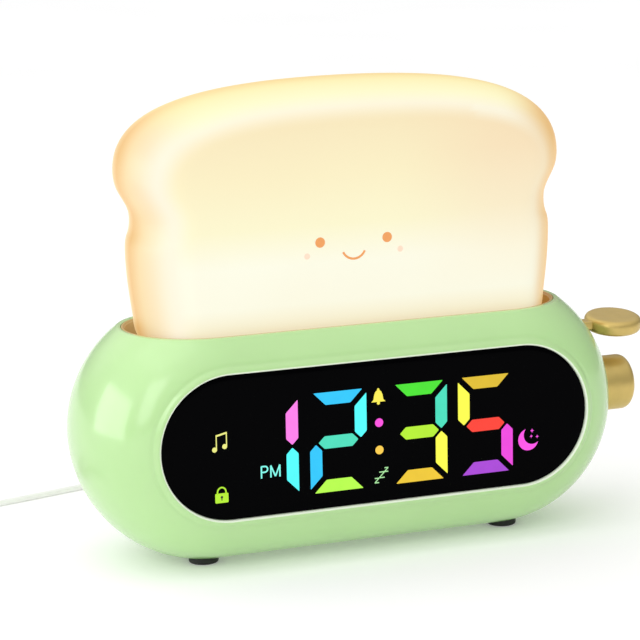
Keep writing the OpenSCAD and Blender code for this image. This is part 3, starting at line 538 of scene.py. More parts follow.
def mouth_lip(edge, fillet):
    """Rounded lip, flat rim and pocket wall that follow the skin's edge at the mouth: from each
    point the surface runs on by a quadratic curve into the level rim, then straight down."""
    d = np.clip(np.abs(edge[:, 0]) - HALF_LEN, 0, None)
    r = np.hypot(d, edge[:, 2])
    steep = (r - FACE_R) / BULGE ** 2
    out = np.stack([np.sign(edge[:, 0]) * d / r * steep, edge[:, 1] / HALF_D ** 2], axis=-1)
    reach = np.linalg.norm(out, axis=1, keepdims=True)
    rise = (edge[:, 2] / r * steep)[:, None]
    out = out / reach
    corner = np.concatenate([edge[:, :2] - out * LIP_DROP * rise / reach,
        np.full((len(edge), 1), MOUTH_Z)], axis=1)
    inner = corner.copy()
    inner[:, :2] -= out * fillet
    steps = np.linspace(0, 1, 6)[:, None, None]
    curve = (1 - steps) ** 2 * edge + 2 * steps * (1 - steps) * corner + steps ** 2 * inner
    centre = np.clip(inner[:, :1], -HALF_LEN, HALF_LEN)
    away = inner[:, :2] - np.concatenate([centre, np.zeros_like(centre)], axis=1)
    away /= np.linalg.norm(away, axis=1, keepdims=True)
    wall = []
    for radius, z in [(POCKET_R + 0.15, MOUTH_Z), (POCKET_R, MOUTH_Z - 0.15), (POCKET_R, MOUTH_Z - 6)]:
        ring = np.full((len(edge), 3), z, float)
        ring[:, :2] = away * radius
        ring[:, 0] += centre[:, 0]
        wall.append(ring)
    rows = np.concatenate([curve, np.stack(wall)])
    return rows, grid_faces(len(rows), len(edge))


def open_rows(points, over, inside):
    """Faces of the pill's skin, without those that span the mouth where both rows are open."""
    rows, cols = points.shape[:2]
    faces = grid_faces(rows, cols, wrap=True).reshape(rows - 1, cols, 4)
    keep = np.ones((rows - 1, cols), bool)
    spans = inside[:-1] & inside[1:]
    keep[np.ix_(spans, np.arange(cols - over - 1, cols))] = False
    return faces[keep]


def pierce(bm, outline, plane, beyond):
    """Cuts a convex outline out of the skin: the faces near it are split along each of its sides
    and those inside it go. plane names its two axes, beyond picks the faces it may touch."""
    i, j = plane
    outline = np.asarray(outline, float)
    lo, hi = outline.min(0) - 4, outline.max(0) + 4
    faces = [f for f in bm.faces if beyond(f.calc_center_median())
        and lo[0] < f.calc_center_median()[i] < hi[0] and lo[1] < f.calc_center_median()[j] < hi[1]]
    geom = list({e for f in faces for e in f.edges}) + list({v for f in faces for v in f.verts}) + faces
    for p, q in zip(outline, np.roll(outline, -1, axis=0)):
        at, across = [0.0] * 3, [0.0] * 3
        at[i], at[j] = p
        across[i], across[j] = q[1] - p[1], p[0] - q[0]
        geom = bmesh.ops.bisect_plane(bm, geom=geom, dist=1e-4, plane_co=at, plane_no=across)["geom"]
    edges = list(zip(outline, np.roll(outline, -1, axis=0)))
    turn = sum(p[0] * q[1] - p[1] * q[0] for p, q in edges)
    gone = []
    for f in geom:
        if isinstance(f, bmesh.types.BMFace) and f.is_valid:
            c = f.calc_center_median()
            side = [((q[0] - p[0]) * (c[j] - p[1]) - (q[1] - p[1]) * (c[i] - p[0])) * turn for p, q in edges]
            if min(side) > 0:
                gone.append(f)
    bmesh.ops.delete(bm, geom=gone, context="FACES")


LIP_Y = float(-bulge_y(LIP_Z))
SPLIT_GAP = 0.06
# The bead round the window takes a paler finish, a painted highlight along its polished edge: inside this
# radius and in front of this depth.
HIGHLIGHT_RING_R = 24.7
HIGHLIGHT_RING_Y = -30.0
# Openings: the lever's slot by its half width and its play, and the round holes by their radius.
LEVER_SLOT = (3.3, 1.8)
BORE_R, SCREW_HOLE_R, BUTTON_HOLE_R, DOOR_HOLE_R, GRILLE_HOLE_R = 3.65, 2.4, 4.2, 13.45, 0.9


def mouth_depths(start_y, end_y, count):
    """Depths across the open mouth, close together where the mouth's corners turn."""
    turn = np.linspace(math.acos(-start_y / LIP_Y), math.acos(-end_y / LIP_Y), count)
    return -LIP_Y * np.cos(turn)


class CLOCK_OT_housing(bpy.types.Operator):
    """Front moulding and rear cover of the pill-shaped housing"""

    bl_idname = "clock.housing"
    bl_label = "Housing"

    def execute(self, context):
        sizes = context.scene.clock_sizes
        # The second finish is the housing's green painted paler: a painted highlight on the bead round the
        # window.
        looks = [glossy_abs("polished mint ABS", sizes.housing_hex),
            glossy_abs("bezel ring with painted highlight", "EAF8DE")]
        top = -HALF_D - sizes.rim_height
        rim = [(23.9, LEDGE_Y + 0.2), (23.9, top + 0.6), (23.97, top + 0.28), (24.15, top + 0.1),
            (24.5, top), (24.95, top + 0.03), (25.4, top + 0.2), (25.8, top + 0.5),
            (26.1, top + 0.8), (26.45, top + 1.06), (26.9, top + 1.19)]
        radii = np.linspace(27.4, LIP_Z, 18)
        front = rim + list(zip(radii, bulge_y(radii)))
        across = mouth_depths(-LIP_Y, SPLIT_Y - 0.6, 40)[1:]
        across = np.append(across, [SPLIT_Y - 0.4, SPLIT_Y - 0.25])
        front += list(zip(bulge_r(across), across))
        edge = float(bulge_r(SPLIT_Y))
        front += [(edge, SPLIT_Y - 0.15), (edge - 0.1, SPLIT_Y - SPLIT_GAP)]
        self.moulding("housing_front", np.array(front), len(rim) + len(radii) - 1, looks, sizes, 1)

        across = np.append([SPLIT_Y + 0.25, SPLIT_Y + 0.4], mouth_depths(SPLIT_Y + 0.6, LIP_Y, 14))
        rear = [(edge - 0.16, SPLIT_Y + SPLIT_GAP), (edge - 0.06, SPLIT_Y + 0.15)]
        rear += list(zip(bulge_r(across), across))
        turn = np.linspace(math.asin(LIP_Y / HALF_D), math.pi / 2, 20)[1:]
        rear += list(zip(FACE_R + BULGE * np.cos(turn), HALF_D * np.sin(turn)))
        self.moulding("housing_rear", np.array(rear), 2 + len(across) - 1, looks, sizes, -1)
        return {"FINISHED"}

    def moulding(self, name, profile, mouth_row, looks, sizes, side):
        """One moulding: its skin, the lip along its part of the mouth, and its openings. The small
        chamfer at the parting line runs out over the last three columns before the mouth."""
        points, over = pill_rows(profile)
        inside = np.arange(len(profile)) >= mouth_row if side > 0 else np.arange(len(profile)) <= mouth_row
        faces = open_rows(points, over, inside)
        rows = np.arange(len(profile))[inside]
        if side < 0:
            rows = rows[::-1]
        left_col = points.shape[1] - over - 1
        col = np.arange(points.shape[1])
        chamfer = smoothstep(np.minimum(col, np.abs(col - left_col)), 0, 3)[:, None]
        ends, level = ((-1,), points[-2]) if side > 0 else ((0, 1), points[2])
        for row in ends:
            points[row, :, ::2] = level[:, ::2] + (points[row] - level)[:, ::2] * chamfer
        left = points[rows[::-1], left_col]
        right = points[rows, 0]
        edge = np.concatenate([left[:-1], points[rows[0], left_col:], right])
        parts = [(points, faces), mouth_lip(edge, sizes.lip_fillet)]
        if side < 0:
            parts.append(self.back_plate(points[-1]))
        bm = to_bmesh(parts)
        face_out(bm, lambda c: Vector((c.x * 0.3, c.y, c.z)))
        if side > 0:
            half, play = LEVER_SLOT
            low, high = LEVER_Z - LEVER_TRAVEL - play, LEVER_Z + play
            pierce(bm, [(-half, low), (half, low), (half, high), (-half, high)], (1, 2), lambda c: c.x > 80)
            pierce(bm, circle(BORE_R), (1, 2), lambda c: c.x > 90)
        else:
            for at in SCREWS_AT:
                pierce(bm, circle(SCREW_HOLE_R, at), (0, 2), lambda c: c.y > SPLIT_Y + 1)
        # Faces of the bead round the window take the second finish, its painted highlight.
        for f in bm.faces:
            c = f.calc_center_median()
            f.material_index = int(math.hypot(max(abs(c.x) - HALF_LEN, 0), c.z) < HIGHLIGHT_RING_R and c.y < HIGHLIGHT_RING_Y)
        settle(name, bm, looks, "clock", ["front_shell" if side > 0 else "rear_cover"],
            sharp=40, wall=1.4)

    def back_plate(self, ring):
        """Flat back inside the bulge, pierced for buttons, grille and battery door, and closed round
        the plug. A second loop close to its edge keeps the turn of the bulge out of the flat."""
        outer = ring[:, [0, 2]]
        middle = np.stack([outer[:, 0].clip(-HALF_LEN, HALF_LEN), np.zeros(len(outer))], axis=-1)
        loops = [outer, middle + (outer - middle) * 0.98]
        holes = [circle(BUTTON_HOLE_R, (x, BUTTON_Z), 32) for x in BUTTON_X]
        holes.append(circle(DOOR_HOLE_R, DOOR_AT, 64))
        for n in range(4):
            spots = [GRILLE_AT] if n == 0 else circle(GRILLE_PITCH * n, GRILLE_AT, 6 * n)
            holes += [circle(GRILLE_HOLE_R, at, 12) for at in spots]
        points, rings, first = [], [], 0
        for loop in loops + holes:
            points += [Vector(p) for p in loop]
            rings.append(list(range(first, first + len(loop))))
            first += len(loop)
        edges = [(r[i], r[(i + 1) % len(r)]) for r in rings for i in range(len(r))]
        out, _, faces, *_ = delaunay_2d_cdt(points, edges, [], 0, 1e-5)
        flat = np.array([(p.x, p.y) for p in out])
        keep = []
        for f in faces:
            c = flat[list(f)].mean(0)
            if not any(self.holds(hole, c) for hole in holes):
                keep.append(list(f))
        return np.stack([flat[:, 0], np.full(len(flat), HALF_D), flat[:, 1]], axis=-1), keep

    @staticmethod
    def holds(loop, c):
        """Whether a convex loop holds a point."""
        a, b = loop, np.roll(loop, -1, axis=0)
        turn = (b[:, 0] - a[:, 0]) * (c[1] - a[:, 1]) - (b[:, 1] - a[:, 1]) * (c[0] - a[:, 0])
        return bool(np.all(turn > 0) or np.all(turn < 0))


class CLOCK_OT_liner(bpy.types.Operator):
    """Tray that lines the bread slot"""

    bl_idname = "clock.liner"
    bl_label = "Slot liner"

    def execute(self, context):
        profile = [(LINER_R - 2, SLOT_FLOOR_Z - 1.6), (LINER_R, SLOT_FLOOR_Z - 1.6),
            (LINER_R, MOUTH_Z - 0.3), (LINER_R - 0.08, MOUTH_Z - 0.08), (LINER_R - 0.3, MOUTH_Z),
            (LINER_R - 0.55, MOUTH_Z - 0.04), (LINER_R - 0.72, MOUTH_Z - 0.2),
            (LINER_R - 0.78, MOUTH_Z - 0.5), (SLOT_R + 0.3, MOUTH_Z - 0.62),
            (SLOT_R + 0.06, MOUTH_Z - 0.72), (SLOT_R, MOUTH_Z - 1), (SLOT_R, SLOT_FLOOR_Z + 0.8),
            (SLOT_R - 0.8, SLOT_FLOOR_Z), (0, SLOT_FLOOR_Z)]
        bm = to_bmesh([stadium_round(profile)])
        face_out(bm, lambda c: Vector((0, 0, 1)) if c.z < SLOT_FLOOR_Z + 0.5 else Vector((0, 0, 0)))
        settle("slot_tray", bm, satin_plastic("warm tan satin plastic", "C9AC72", 0.38), "clock",
            ["slot_liner"])
        return {"FINISHED"}


# ---------- bread lamp ----------

BREAD_HALF = 77.2
BREAD_TOP = 114.0
BREAD_FOOT_Z = 26.5
BREAD_T = 44.6
BREAD_WALL = 1.8
BREAD_ROUND = 15.4
BREAD_POWER = 2.05
SHOULDER_Z = MOUTH_Z + 0.648 * (BREAD_TOP - MOUTH_Z)
NOTCH_Z = MOUTH_Z + 0.449 * (BREAD_TOP - MOUTH_Z)
CHEEK_Z = MOUTH_Z + 0.316 * (BREAD_TOP - MOUTH_Z)
NOTCH_X = BREAD_HALF - 5.2
CHEEK_X = BREAD_HALF - 3.4
FOOT_HALF = BREAD_HALF - 5.5
BREAD_MID_Z = (SHOULDER_Z + NOTCH_Z) / 2

# Glow from the slot (0) to the crown (1) on the face, and from the silhouette (0) to the face (1).
FACE_TONES = ((0.0, "FDF3D2"), (0.1, "FFFDE8"), (0.27, "FFFEEA"), (0.42, "FEF9D2"), (0.62, "FDF2C8"),
    (0.85, "FAEAC0"), (1.0, "FAEAC0"))
# The face's tones towards the right are oranger: painted shade on the side away from the key light.
SHADED_RIGHT_FACE_TONES = ((0.0, "FDF3D2"), (0.1, "FFFDE8"), (0.25, "FFFAE2"), (0.45, "FCEECC"), (0.7, "FAE4BE"),
    (1.0, "FAE4BA"))
# The left side's tones are paler, with a painted highlight band near 0.62: painted key light.
KEY_LIT_LEFT_TONES = ((0.0, "EEC07C"), (0.08, "F1C98A"), (0.22, "F6DBA8"), (0.42, "F9E4BE"), (0.62, "FFF2DC"),
    (1.0, "FFF4E2"))
# The right side's tones are oranger and darker: painted shade.
SHADED_RIGHT_TONES = ((0.0, "F4CC92"), (0.3, "F1C27E"), (0.54, "F1C480"), (0.7, "F4D19A"), (0.84, "F8E2BC"),
    (1.0, "FBEED6"))
CROWN_TONES = ((0.0, "F7D894"), (0.08, "F8DE98"), (0.24, "FCEFB2"), (0.5, "FFFACC"), (0.7, "FFF9E2"),
    (1.0, "FFF9E2"))


def tone(share, stops):
    """Linear colours read off a scale of (share, hex) stops."""
    at = [stop[0] for stop in stops]
    scale = np.array([srgb(stop[1])[:3] for stop in stops])
    return np.stack([np.interp(share, at, scale[:, i]) for i in range(3)], axis=-1)


def bezier(points, count):
    """Points along a cubic curve, without its first."""
    a, b, c, d = (np.array(p, float) for p in points)
    t = np.linspace(0, 1, count + 1)[1:, None]
    return (1 - t) ** 3 * a + 3 * (1 - t) ** 2 * t * b + 3 * (1 - t) * t ** 2 * c + t ** 3 * d


def slice_outline():
    """Outline of the slice from its right foot over the crown to its left foot: four cubic curves
    up the cheek, the notch and the shoulder to the crown, and their mirror image."""
    foot, cheek = (FOOT_HALF, MOUTH_Z + 2), (CHEEK_X, CHEEK_Z)
    notch, shoulder = (NOTCH_X, NOTCH_Z), (BREAD_HALF, SHOULDER_Z)
    half = np.concatenate([[(FOOT_HALF - 9, BREAD_FOOT_Z)],
        bezier([(FOOT_HALF - 9, BREAD_FOOT_Z), (FOOT_HALF - 3, BREAD_FOOT_Z + 0.4),
            (FOOT_HALF - 0.2, MOUTH_Z - 3.4), foot], 10),
        bezier([foot, (FOOT_HALF + 0.4, MOUTH_Z + 6), (CHEEK_X, CHEEK_Z - 10), cheek], 14),
        bezier([cheek, (CHEEK_X, CHEEK_Z + 6), (NOTCH_X, NOTCH_Z - 6), notch], 12),
        bezier([notch, (NOTCH_X, NOTCH_Z + 6), (BREAD_HALF, SHOULDER_Z - 8), shoulder], 14),
        bezier([shoulder, (BREAD_HALF, BREAD_TOP - 7.8), (0.686 * BREAD_HALF, BREAD_TOP),
            (0, BREAD_TOP)], 36)])
    other = half[-2::-1] * (-1, 1)
    return np.concatenate([half, other])


def slice_rings():
    """Shares of the way from the slice's edge to its upright middle line, close at the edge."""
    near = BREAD_ROUND / FOOT_HALF * (1 - np.cos(arc_turn(20, 0, 90)))
    return np.concatenate([near, np.linspace(near[-1], 1, 16)[1:]])


def slice_face(outline, share):
    """Half of the pillow: each ring is the outline drawn in towards the upright middle line, and
    its depth rises from the edge as a superellipse. The crown comes down only as far as the rounded
    edge reaches, so past it the rings fill the flat face."""
    share = share[:, None]
    x = outline[:, 0] * (1 - share)
    above = np.clip(outline[:, 1] - BREAD_MID_Z, 0, None)
    z = np.minimum(outline[:, 1], BREAD_MID_Z) + above * (1 - share.clip(0, BREAD_ROUND / FOOT_HALF)
        * FOOT_HALF / (BREAD_TOP - BREAD_MID_Z))
    way = np.clip(share * FOOT_HALF / BREAD_ROUND, 0, 1)
    depth = BREAD_T / 2 * (1 - (1 - way) ** BREAD_POWER) ** (1 / BREAD_POWER)
    return x, np.broadcast_to(depth, x.shape), np.broadcast_to(z, x.shape)


class CLOCK_OT_bread(bpy.types.Operator):
    """Pillow-shaped bread-slice shade, its glow and its printed smile"""

    bl_idname = "clock.bread"
    bl_label = "Bread lamp"

    def execute(self, context):
        sizes = context.scene.clock_sizes
        outline = slice_outline()
        share = slice_rings()
        x, depth, z = slice_face(outline, share)
        front = np.stack([x, -depth, z], axis=-1)
        back = np.stack([x, depth, z], axis=-1)
        rings = np.concatenate([back[::-1], front[1:]])
        bm = to_bmesh([(rings, grid_faces(len(rings), len(outline)))], weld=1e-3)
        face_out(bm, lambda c: Vector((0, c.y, 0)))
        piece = settle("bread_slice", bm, glowing_shade("milky lamp shade", sizes.glow), "clock",
            ["bread_shade"], sharp=60, wall=BREAD_WALL)
        self.mark_glow(piece)
        self.smile()
        return {"FINISHED"}

    def mark_glow(self, piece):
        """Colour of the glow at each point: the edge's tones run from the silhouette to the face, one scale
        for each side and one for the crown, and pass into the face's tones, which go by height and grow
        warmer to the right. The two sides differ only by painted light and shade: the left scale is paler
        with a painted highlight, while the right scale, the warmer right of the face and the edge tones that
        reach further in on the right are painted shade."""
        mesh = piece.data
        co = np.empty(len(mesh.vertices) * 3)
        mesh.vertices.foreach_get("co", co)
        p = (co.reshape(-1, 3) - ORIGIN) / MM
        turn = np.arcsin(np.clip(np.abs(p[:, 1]) / (BREAD_T / 2), 0, 1)) / (np.pi / 2)
        height = (p[:, 2] - MOUTH_Z) / (BREAD_TOP - MOUTH_Z)

        def mix(a, b, share):
            """From one colour to another by a share at each point."""
            return a + (b - a) * share[:, None]

        # The face grows oranger to the right: painted shade.
        face = mix(tone(height, FACE_TONES), tone(height, SHADED_RIGHT_FACE_TONES), smoothstep(p[:, 0], 6, 56))
        # Left and right take different scales: painted light on the left, painted shade on the right.
        side = np.where(p[:, :1] < 0, tone(turn, KEY_LIT_LEFT_TONES), tone(turn, SHADED_RIGHT_TONES))
        flank = smoothstep(np.abs(p[:, 0]), 50, 72) * (1 - smoothstep(height, 0.8, 1))
        edge = mix(tone(turn, CROWN_TONES), side, flank)
        # On the right the edge's tones reach further into the face: painted shade.
        reach = np.where(p[:, 0] > 40, 0.7, 0.62)
        colour = mix(edge, face, smoothstep(turn, reach, 0.92))
        layer = mesh.attributes.new("glow", "FLOAT_COLOR", "POINT")
        rgba = np.concatenate([colour, np.ones((len(colour), 1))], axis=1).astype(np.float32)
        layer.data.foreach_set("color", rgba.ravel())

    def smile(self):
        """Smiling face pad-printed on the slice: two dot eyes, a mouth curve and round cheeks."""
        y = -BREAD_T / 2 - PRINT_LIFT
        turn = arc_turn(25, 205, 335)
        mouth = np.stack([-4.2 + 4.2 * np.cos(turn), 60.4 + 4.2 * np.sin(turn)], axis=-1)
        eyes = [disc(circle(1.7, at, 32), y) for at in ((-16.0, 62.4), (7.6, 62.4))]
        cheeks = [disc(circle(1.0, at, 28), y) for at in ((-20.6, 58.2), (12.2, 58.2))]
        for name, parts, ink in (
                ("smile_print", [ribbon(mouth, 0.75, y)] + eyes, printed("caramel pad-print ink", "D08A4E")),
                ("cheek_print", cheeks, printed("pink pad-print ink", "F6C2AC"))):
            bm = to_bmesh(parts)
            face_out(bm, to_front)
            settle(name, bm, ink, "clock", wall=PRINT_T)


def disc(outline, y):
    """Flat shape of a convex outline at one depth, as triangles about its middle."""
    outline = np.asarray(outline, float)
    n = len(outline)
    flat = np.concatenate([[outline.mean(0)], outline])
    faces = [(0, i + 1, (i + 1) % n + 1) for i in range(n)]
    return np.stack([flat[:, 0], np.full(n + 1, y), flat[:, 1]], axis=-1), faces


def ribbon(line, width, y):
    """Flat stroke of one width along a line of points: each side lies half a width off it."""
    line = np.asarray(line, float)
    along = np.gradient(line, axis=0)
    along /= np.linalg.norm(along, axis=1, keepdims=True)
    side = np.stack([-along[:, 1], along[:, 0]], axis=-1) * width / 2
    pair = np.stack([line - side, line + side], axis=0)
    points = np.stack([pair[..., 0], np.full(pair.shape[:2], y), pair[..., 1]], axis=-1)
    return points, grid_faces(2, len(line))


# ---------- display ----------

LIT_Y = WINDOW_Y - PRINT_LIFT
DIGIT_H, DIGIT_W, BAR_W, BAR_GAP = 33.4, 20.0, 4.2, 0.9
DIGIT_MID_Z = -1.75
DIGIT_X = (-38.7, -14.7, 14.1, 38.1)
COLON_DOTS = (("FF44E0", (-0.3, 2.9)), ("FFD040", (-0.3, -6.3)))
BELL_AT = (-0.45, 11.6)
MOON_AT = (53.9, -8.6)
LETTERS_AT = (-41.9, -11.3)
SNOOZE_AT = (-0.2, -15.3)
# Colours of the bars that are lit in each digit, by the bar's number.
LIT_BARS = (
    {1: "FF7AEB", 2: "47FFFF"},
    {0: "00C8FF", 1: "47FFFF", 6: "3FE0BC", 4: "00C8FF", 3: "B6FF3F"},
    {0: "3AE60A", 1: "38E0BC", 6: "B4F010", 2: "FFFF40", 3: "F0C818"},
    {0: "E0BC08", 5: "FFFF40", 6: "FF3018", 2: "F038E0", 3: "A838D8"})


def bar_shape(i):
    """Outline of one bar of a digit, numbered clockwise from the top with the middle one last."""
    w, h, t, g = DIGIT_W / 2, DIGIT_H / 2, BAR_W, BAR_GAP
    if i == 6:
        return np.array([(-w + t / 2 + g, 0), (-w + t + g, t / 2), (w - t - g, t / 2),
            (w - t / 2 - g, 0), (w - t - g, -t / 2), (-w + t + g, -t / 2)])
    if i in (0, 3):
        shape = np.array([(-w + 1.6 * g, h), (w - 1.6 * g, h), (w - 1.6 * g - t, h - t),
            (-w + 1.6 * g + t, h - t)])
        return shape * (1, 1 if i == 0 else -1)
    shape = np.array([(w, h - 1.6 * g), (w - t, h - 1.6 * g - t), (w - t, g / 2 + t / 2),
        (w - t / 2, g / 2), (w, g / 2 + t / 2)])
    return shape * (1 if i in (1, 2) else -1, 1 if i in (1, 5) else -1)


def eased(outline, size=0.35, steps=3):
    """Outline with each corner drawn as a short quadratic curve."""
    outline = np.asarray(outline, float)
    before = np.roll(outline, 1, axis=0) - outline
    after = np.roll(outline, -1, axis=0) - outline
    before *= size / np.linalg.norm(before, axis=1, keepdims=True)
    after *= size / np.linalg.norm(after, axis=1, keepdims=True)
    t = np.linspace(0, 1, steps + 1)[None, :, None]
    curve = outline[:, None] + (1 - t) ** 2 * before[:, None] + t ** 2 * after[:, None]
    return curve.reshape(-1, 2)


class CLOCK_OT_display(bpy.types.Operator):
    """Black window with the lit digits, colon and signs behind it"""

    bl_idname = "clock.display"
    bl_label = "Display"

    def execute(self, context):
        sizes = context.scene.clock_sizes
        r = WINDOW_R - 0.15
        profile = [(r, 2.0), (r, 0.3), (r - 0.06, 0.1), (r - 0.3, 0.0), (r - 3, 0.0), (0, 0.0)]
        bm = to_bmesh([placed(stadium_round(profile), ALONG_Y, (0, WINDOW_Y, 0))])
        face_out(bm, lambda c: to_front(c) if c.y < WINDOW_Y + 0.05 else Vector((0, 0, 0)))
        settle("window", bm, smoked_acrylic("smoked acrylic window"), "clock",
            ["display_window"], wall=1.0)
        lit = {}
        for x, bars in zip(DIGIT_X, LIT_BARS):
            for i, code in bars.items():
                lit.setdefault(code, []).append(disc(eased(bar_shape(i)) + (x, DIGIT_MID_Z), LIT_Y))
        for code, at in COLON_DOTS:
            lit.setdefault(code, []).append(disc(circle(1.45, at, 32), LIT_Y))
        self.light("lit_bars", lit, sizes.digits_glow, ["lit_digits", "lit_colon"])
        self.light("lit_signs", self.signs(), sizes.digits_glow, [])
        return {"FINISHED"}

    def light(self, name, lit, strength, replaces):
        """One piece of many flat shapes, with one finish for each colour."""
        bm = bmesh.new()
        finishes = []
        for index, (code, parts) in enumerate(lit.items()):
            finishes.append(lit_element("light pipe " + code, code, strength))
            some = to_bmesh(parts)
            face_out(some, to_front)
            for f in some.faces:
                f.material_index = index
            join_into(bm, some)
        settle(name, bm, finishes, "clock", replaces, wall=PRINT_T)

    def signs(self):
        """Small signs by colour: bell, note, padlock with its keyhole, moon with stars, PM and a
        snooze sign."""
        y = LIT_Y
        bell = np.array([(-2.5, -1.7), (2.5, -1.7), (1.75, -0.9), (1.5, 0.6), (1.05, 1.7), (0.35, 2.3),
            (-0.35, 2.3), (-1.05, 1.7), (-1.5, 0.6), (-1.75, -0.9)])
        x, z = BELL_AT
        lit = {"FFF04A": [disc(bell[[0, 1, 2, 9]] + (x, z), y), disc(bell[2:] + (x, z), y),
            disc(circle(0.55, (x, z - 2.1), 16), y), disc(circle(0.42, (x, z + 2.45), 16), y)]}
        strokes = (((-56.75, -0.1), (-56.75, 4.6), 0.36), ((-53.3, 0.7), (-53.3, 5.4), 0.36),
            ((-56.93, 4.35), (-53.12, 5.2), 0.6))
        lit["F0F080"] = [ribbon([low, high], width, y) for low, high, width in strokes]
        lit["F0F080"] += [disc(circle(0.84, spot, 20), y) for spot in ((-57.4, -0.1), (-53.95, 0.7))]
        turn = arc_turn(17, 0, 180)
        shackle = np.stack([-55.35 + 1.45 * np.cos(turn), -14.3 + 1.6 * np.sin(turn)], axis=-1)
        shackle = np.concatenate([[shackle[0] - (0, 0.6)], shackle, [shackle[-1] - (0, 0.6)]])
        body = np.array([(-57.6, -17.8), (-53.1, -17.8), (-53.1, -14.6), (-57.6, -14.6)])
        lit["B4F010"] = [ribbon(shackle, 0.5, y), disc(eased(body, 0.4), y)]
        lit["030402"] = [disc(circle(0.42, (-55.35, -15.9), 16), y - PRINT_T),
            ribbon([(-55.35, -16), (-55.35, -17)], 0.34, y - PRINT_T)]
        stars = ((0.75, (55.3, -5.7)), (0.62, (55.0, -7.6)), (0.62, (57.2, -7.9)))
        lit["FF48E8"] = [self.moon(MOON_AT, 3.75)] + [disc(self.star(r, spot), y) for r, spot in stars]
        lit["80FFF0"] = self.letters(LETTERS_AT, 4.0)
        lit["A8E8A0"] = self.snooze(SNOOZE_AT)
        return lit

    @staticmethod
    def moon(at, r):
        """Crescent whose horns point up and to the right: an outer arc, and an inner one about a
        middle moved that way, both through the horns."""
        turn = arc_turn(41, 105, 345)
        outer = np.stack([r * np.cos(turn), r * np.sin(turn)], axis=-1)
        shift = np.array([0.42 * r, 0.42 * r])
        inner_r = np.linalg.norm(outer[0] - shift)
        horns = [math.degrees(math.atan2(*(outer[i] - shift)[::-1])) % 360 for i in (0, -1)]
        turn = arc_turn(41, *horns)
        inner = shift + inner_r * np.stack([np.cos(turn), np.sin(turn)], axis=-1)
        pair = np.stack([outer, inner]) + np.array(at)
        points = np.stack([pair[..., 0], np.full(pair.shape[:2], LIT_Y), pair[..., 1]], axis=-1)
        return points, grid_faces(2, 41)

    @staticmethod
    def star(r, at):
        """Star of four points: the radius is full and 0.4 of it by turns."""
        turn = np.linspace(0, 2 * np.pi, 8, endpoint=False)
        reach = np.where(np.arange(8) % 2, r * 0.4, r)
        return np.stack([at[0] + reach * np.cos(turn), at[1] + reach * np.sin(turn)], axis=-1)

    @staticmethod
    def letters(at, h):
        """The letters P and M in single strokes."""
        turn = arc_turn(13, 90, -90)
        bowl = np.stack([1.4 + 1.0 * np.cos(turn), h * 0.74 + h * 0.24 * np.sin(turn)], axis=-1)
        bowl = np.concatenate([[(0.25, h * 0.98)], bowl, [(0.25, h * 0.5)]])
        strokes = [[(0.25, 0), (0.25, h)], bowl, [(3.5, 0), (3.5, h)], [(3.5, h), (5.05, 0.3)],
            [(5.05, 0.3), (6.6, h)], [(6.6, 0), (6.6, h)]]
        return [ribbon(np.array(stroke) + at, 0.5, LIT_Y) for stroke in strokes]

    @staticmethod
    def snooze(at):
        """Three letters Z of growing size, the usual sign for a nap."""
        strokes = []
        for x, z, size in ((-1.9, -2.0, 1.5), (-0.3, -0.4, 1.9), (1.6, 1.5, 1.3)):
            for line in ([(0, 1), (1, 1)], [(1, 1), (0, 0)], [(0, 0), (1, 0)]):
                strokes.append(ribbon(np.array(line) * size + (x, z) + np.array(at), 0.36, LIT_Y))
        return strokes


# ---------- knob and lever ----------

KNOB_R, KNOB_LENGTH = 9.65, 11.6
PADDLE_R, PADDLE_T, PADDLE_TILT = 10.0, 5.2, 8.0
NECK_IN_X, NECK_W, NECK_T = 79.9, 6.0, 3.0


class CLOCK_OT_controls(bpy.types.Operator):
    """Gold knob and push-down lever on the right end"""

    bl_idname = "clock.controls"
    bl_label = "Knob and lever"

    def execute(self, context):
        gold = gold_lacquer("gold metallised lacquer", context.scene.clock_sizes.gold_hex)
        r, length, edge = KNOB_R, KNOB_LENGTH, 2.6
        turn = arc_turn(9, 0, 90)
        shoulder = np.stack([r - edge + edge * np.cos(turn), length - edge + edge * np.sin(turn)], axis=-1)
        profile = np.concatenate([[(3.0, 3.4), (r - 1.6, 3.4), (r - 1.6, 0.15), (r - 1.45, 0.0),
            (r - 0.3, 0.0), (r - 0.08, 0.08), (r, 0.3)], shoulder, [(r - 4.5, length), (0, length)]])
        bm = to_bmesh([placed(turned(profile), ALONG_X, (KNOB_X, 0, 0))])
        face_out(bm, lambda c: Vector((0, c.y, c.z)))
        settle("turning_knob", bm, gold, "knob", ["knob"])

        r, half, edge = PADDLE_R, PADDLE_T / 2, 1.9
        turn = arc_turn(5, 90, 0)
        upper = np.stack([r - edge + edge * np.cos(turn), half - edge + edge * np.sin(turn)], axis=-1)
        upper = np.concatenate([[(0, half), (r - 3.4, half)], upper])
        tilt = math.radians(PADDLE_TILT)
        axes = [(1, 0, 0), (0, math.cos(tilt), math.sin(tilt)), (0, -math.sin(tilt), math.cos(tilt))]
        middle = (PADDLE_X, 0, LEVER_Z)
        bm = to_bmesh([placed(turned(np.concatenate([upper, upper[::-1] * (1, -1)])), axes, middle)])
        face_out(bm, lambda c: c - Vector(middle))
        neck = to_bmesh([rounded_bar((NECK_IN_X, PADDLE_X - 7), (-NECK_W / 2, NECK_W / 2),
            (LEVER_Z - NECK_T / 2, LEVER_Z + NECK_T / 2), 0.6)])
        face_out(neck, lambda c: Vector((0, c.y, c.z - LEVER_Z)))
        join_into(bm, neck)
        settle("lever_pad", bm, gold, "lever", ["lever_paddle"])
        return {"FINISHED"}


